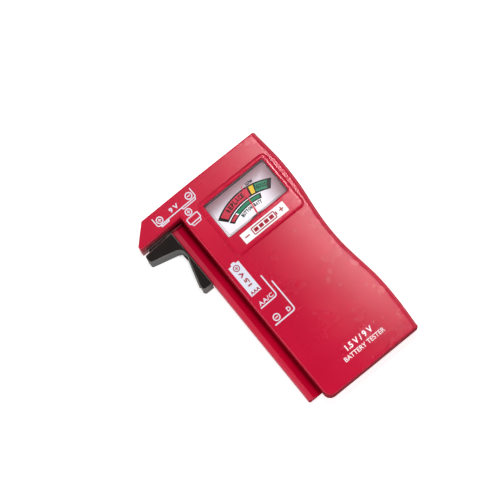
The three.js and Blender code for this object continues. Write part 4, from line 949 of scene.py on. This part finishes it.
def arc3(p, q, r):
    """Centre and radius of the circle through three points."""
    (ax, ay), (bx, by), (cx_, cy_) = p, q, r
    d = 2 * (ax * (by - cy_) + bx * (cy_ - ay) + cx_ * (ay - by))
    ux = ((ax * ax + ay * ay) * (by - cy_) + (bx * bx + by * by) * (cy_ - ay) + (cx_ * cx_ + cy_ * cy_) * (ay - by)) / d
    uy = ((ax * ax + ay * ay) * (cx_ - bx) + (bx * bx + by * by) * (ax - cx_) + (cx_ * cx_ + cy_ * cy_) * (bx - ax)) / d
    return (ux, uy), math.hypot(ax - ux, ay - uy)


HUB = G(126.2, 125.0)


def edge_pts(A, u0, u1, n):
    """Points along the arc A (centre, radius) between two columns."""
    (cx_, cy_), R = A
    x0, x1 = G(u0, 90)[0], G(u1, 90)[0]
    a0, a1 = math.acos(max(-1, min(1, (x0 - cx_) / R))), math.acos(max(-1, min(1, (x1 - cx_) / R)))
    return [(cx_ + R * math.cos(a0 + (a1 - a0) * i / n), cy_ + R * math.sin(a0 + (a1 - a0) * i / n)) for i in range(n + 1)]


def ray_cut(A, th):
    """Where the ray from HUB at angle th (from straight up, right positive) meets arc A."""
    (cx_, cy_), R = A
    d = np.array([math.sin(th), math.cos(th)])
    o = np.array(HUB) - np.array([cx_, cy_])
    b = o @ d
    t = -b + math.sqrt(b * b - (o @ o - R * R))
    return tuple(np.array(HUB) + d * t)


def theta(u, v):
    p = G(u, v)
    return math.atan2(p[0] - HUB[0], p[1] - HUB[1])


OUT = arc3(G(91.9, 85.6), G(126.0, 76.0), G(160.6, 85.6))
IN = arc3(G(98.6, 93.5), G(126.0, 86.9), G(153.8, 93.4))
bO = arc3(G(99.3, 94.9), G(122.0, 88.3), G(142.4, 90.4))
bI = arc3(G(102.4, 98.8), G(122.0, 93.2), G(140.9, 95.2))


def sector(pr, A, B, t0, t1, n=24):
    ts = np.linspace(t0, t1, n + 1)
    pr.band([ray_cut(B, t) for t in ts], [ray_cut(A, t) for t in ts])


def inset(A, d):
    return (A[0], A[1] + d)


t_l, t_r = theta(91.9, 85.6), theta(160.6, 85.6)
b_l, b_r = theta(99.3, 94.9), theta(142.8, 90.4)
P = Print("dial_outline", DT, 0.02)
sector(P, inset(IN, -0.1), inset(OUT, 0.12), t_l, t_r, 48)
sector(P, inset(bI, -0.1), inset(bO, 0.1), b_l, b_r, 32)
P.done(INK_BLACK)
w = 0.56
t1, t2, t3 = theta(134.8, 82), theta(141.0, 83), 0.0
P = Print("dial_red_bands", DT + 0.02, 0.015)
sector(P, inset(IN, w), inset(OUT, -w), t_l + 0.065, t1 - 0.022, 32)
sector(P, inset(bI, 0.42), inset(bO, -0.42), b_l + 0.05, theta(110.3, 93), 12)
P.done(D_RED)
P = Print("dial_yellow_band", DT + 0.02, 0.015)
sector(P, inset(IN, w), inset(OUT, -w), t1 + 0.022, t2 - 0.016, 8)
P.done(D_YELLOW)
P = Print("dial_green_bands", DT + 0.02, 0.015)
sector(P, inset(IN, w), inset(OUT, -w), t2 + 0.016, t_r - 0.09, 16)
sector(P, inset(bI, 0.42), inset(bO, -0.42), theta(111.7, 92.6), b_r - 0.05, 24)
P.done(D_GREEN)
P = Print("dial_white_gap", DT + 0.02, 0.015)
sector(P, inset(bI, 0.42), inset(bO, -0.42), theta(110.4, 93), theta(111.6, 92.6), 4)
P.done(DIAL_PAINTED_SHADE)
P = Print("dial_text", DT + 0.035, 0.015)


def arc_text(pr, body, A, off, ths, height, width, bold=0.03):
    """Letters one by one along an arc."""
    for ch, t in zip(body, ths):
        if ch == " ":
            continue
        p = ray_cut(inset(A, off), t)
        cx_, cy_ = A[0]
        ang = -math.degrees(math.atan2(p[0] - cx_, p[1] - cy_))
        pr.text(ch, p, height, width * (0.35 if ch == "I" else 1), ang, bold)


arc_text(P, "REPLACE", OUT, -2.15, [theta(u, v) for u, v in [(106.0, 83.9), (109.5, 83.2), (113.0, 82.6), (116.4, 82.1), (119.8, 81.8), (123.3, 81.5), (126.6, 81.4)]], 2.2, 1.2, 0.05)
arc_text(P, "GOOD", OUT, -2.15, [theta(u, v) for u, v in [(143.6, 84.1), (146.5, 84.9), (149.4, 85.9), (152.2, 87.0)]], 2.0, 1.12, 0.05)
P.text("LOW", G(140.2, 74.9), 1.5, 3.6, -7, 0.07)
arc_text(P, "BUTTON BATT", bI, -1.28, [theta(u, 97.8) for u in (114.6, 116.9, 119.2, 121.5, 123.8, 126.1, 128.2, 130.4, 132.7, 135.0, 137.3)], 1.65, 0.9, 0.07)
P.done(INK_BLACK)

# rear label: plain cell signs and rules, no lettering
P = Print("rear_label_print", 0.05, 0.0)
P.t = -0.03
for k, (wd, ht) in enumerate(((13, 6.5), (11, 5), (9, 3.4), (9, 2.6))):
    y = 61.5 - 7.2 * k
    x0 = 18.5
    q = [(x0, y - ht / 2), (x0 + wd, y - ht / 2), (x0 + wd, y + ht / 2), (x0, y + ht / 2)]
    P.line(q, 0.35, closed=True)
    P.line([(x0 + wd + 0.4, y - ht * 0.18), (x0 + wd + 0.4, y + ht * 0.18)], 0.7)
    P.line([(34.5, y + 0.8), (45.5, y + 0.8)], 0.3)
    P.line([(34.5, y - 0.8), (42.5, y - 0.8)], 0.3)
o = P.done(INK_GREY)

# ------------------------------------------------------------------ stage, lights, camera
bpy.ops.mesh.primitive_plane_add(size=6.0, location=(0, 0, -0.0002))
floor = bpy.context.object
floor.name = "floor"
m, nt, b, tc = new_mat("floor_paper")
c = mix(nt, maprange(nt, noise(nt, tc, 4, 3), 0, 1), (0.90, 0.90, 0.905, 1), (0.92, 0.92, 0.925, 1))
# painted dark reflection: for glossy rays only, the floor within 0.1 m of the origin is dimmed to at most 0.45, nearly
# black where y is below -0.05 m and darker where x is past about 0.03 m; full brightness from 0.2 m out
sx = nt.nodes.new("ShaderNodeSeparateXYZ")
nt.links.new(tc.outputs["Object"], sx.inputs[0])
shade_y = maprange(nt, sx.outputs["Y"], 0.02, 0.45, -0.050, -0.044)
shade_x = maprange(nt, sx.outputs["X"], 0.0, 0.28, 0.029, 0.034)
less = nt.nodes.new("ShaderNodeMath")
less.operation = "SUBTRACT"
less.use_clamp = True
nt.links.new(shade_y, less.inputs[0])
nt.links.new(shade_x, less.inputs[1])
shade_y = less.outputs[0]
ln = nt.nodes.new("ShaderNodeVectorMath")
ln.operation = "LENGTH"
nt.links.new(tc.outputs["Object"], ln.inputs[0])
far = maprange(nt, ln.outputs["Value"], 0.0, 1.0, 0.10, 0.20)
shade = nt.nodes.new("ShaderNodeMath")
shade.operation = "MAXIMUM"
nt.links.new(shade_y, shade.inputs[0])
nt.links.new(far, shade.inputs[1])
shade = shade.outputs[0]
lp = nt.nodes.new("ShaderNodeLightPath")
one = nt.nodes.new("ShaderNodeMix")
one.data_type = "FLOAT"
nt.links.new(lp.outputs["Is Glossy Ray"], one.inputs[0])
one.inputs[2].default_value = 1.0
nt.links.new(shade, one.inputs[3])
c = mix(nt, one.outputs[0], (0.02, 0.02, 0.02, 1), c)
nt.links.new(c, b.inputs["Base Color"])
em = nt.nodes.new("ShaderNodeMath")
em.operation = "MULTIPLY"
nt.links.new(one.outputs[0], em.inputs[0])
em.inputs[1].default_value = 0.42
seen = nt.nodes.new("ShaderNodeMath")
seen.operation = "MULTIPLY_ADD"
nt.links.new(lp.outputs["Is Camera Ray"], seen.inputs[0])
seen.inputs[1].default_value = 0.24
nt.links.new(em.outputs[0], seen.inputs[2])
nt.links.new(seen.outputs[0], b.inputs["Emission Strength"])
b.inputs["Emission Color"].default_value = (1, 1, 1, 1)
b.inputs["Roughness"].default_value = 0.9
b.inputs["Specular IOR Level"].default_value = 0.1
bump(nt, b, [(noise(nt, tc, 900, 3), 0.02)])
paint(floor, m)

world = bpy.data.worlds.new("studio")
world.use_nodes = True
nt = world.node_tree
bg = nt.nodes["Background"]
tc = nt.nodes.new("ShaderNodeTexCoord")
sep = nt.nodes.new("ShaderNodeSeparateXYZ")
nt.links.new(tc.outputs["Generated"], sep.inputs[0])
mirror = ramp(nt, sep.outputs["Z"], [(0.0, (0.95, 0.95, 0.96)), (0.45, (0.40, 0.40, 0.41)), (0.75, (0.05, 0.05, 0.05)), (1.0, (0.01, 0.01, 0.01))])
near = maprange(nt, sep.outputs["Y"], 0.40, 1.0, -0.45, 0.05)
mirror = mix(nt, near, (0.01, 0.01, 0.01, 1), mirror)
soft = ramp(nt, sep.outputs["Z"], [(0.0, (0.4, 0.4, 0.405)), (0.5, (0.33, 0.33, 0.33)), (1.0, (0.34, 0.34, 0.335))])
lp = nt.nodes.new("ShaderNodeLightPath")
sky = mix(nt, lp.outputs["Is Diffuse Ray"], mirror, soft)
sky = mix(nt, lp.outputs["Is Camera Ray"], sky, (0.99, 0.99, 0.99, 1))
nt.links.new(sky, bg.inputs[0])
bg.inputs[1].default_value = 1.0
world.cycles.sampling_method = "NONE"
bpy.context.scene.world = world


def area(name, loc, target, size, power, size_y=None, color=(1, 1, 1), spread=180.0, up=None):
    l = bpy.data.lights.new(name, "AREA")
    l.energy, l.size, l.color, l.spread = power, size, color, math.radians(spread)
    if size_y:
        l.shape, l.size_y = "RECTANGLE", size_y
    o = bpy.data.objects.new(name, l)
    bpy.context.scene.collection.objects.link(o)
    o.visible_camera = False
    z = (loc - target).normalized()
    y = (up or Vector((0, 1, 0)))
    y = (y - z * y.dot(z)).normalized()
    x = y.cross(z)
    o.matrix_world = Matrix(((x.x, y.x, z.x, loc.x), (x.y, y.y, z.y, loc.y), (x.z, y.z, z.z, loc.z), (0, 0, 0, 1)))
    return o


area("key_upper", W(70, 92, 640), W(24, 58, 15), 0.07, 2.9).visible_glossy = False
area("fill_left", W(-300, -160, 230), W(20, 55, 15), 0.30, 0.45).visible_glossy = False
area("sheen_right", W(130, 154, 378), W(116, 121, 28), 0.03, 0.070, 0.22, spread=30.0).visible_diffuse = False
area("sheen_top", W(50, 175, 378), W(32, 112, 28), 0.06, 0.019, 0.06).visible_diffuse = False

cam_data = bpy.data.cameras.new("camera")
cam_data.sensor_width, cam_data.lens = 36.0, 186.5
cam = bpy.data.objects.new("camera", cam_data)
bpy.context.scene.collection.objects.link(cam)
loc = W(-37.2, -44.3, 1128.0)
look = W(20.8, 71.3, 28.0)
fwd = (look - loc).normalized()
right = Vector((0.774, -0.633, 0.0))
right = (right - fwd * right.dot(fwd)).normalized()
up = right.cross(fwd).normalized()
cam.matrix_world = Matrix(((right.x, up.x, -fwd.x, loc.x), (right.y, up.y, -fwd.y, loc.y), (right.z, up.z, -fwd.z, loc.z), (0, 0, 0, 1)))
cam_data.clip_start, cam_data.clip_end = 0.01, 20
bpy.context.scene.camera = cam
bpy.context.scene.view_settings.view_transform = "Standard"
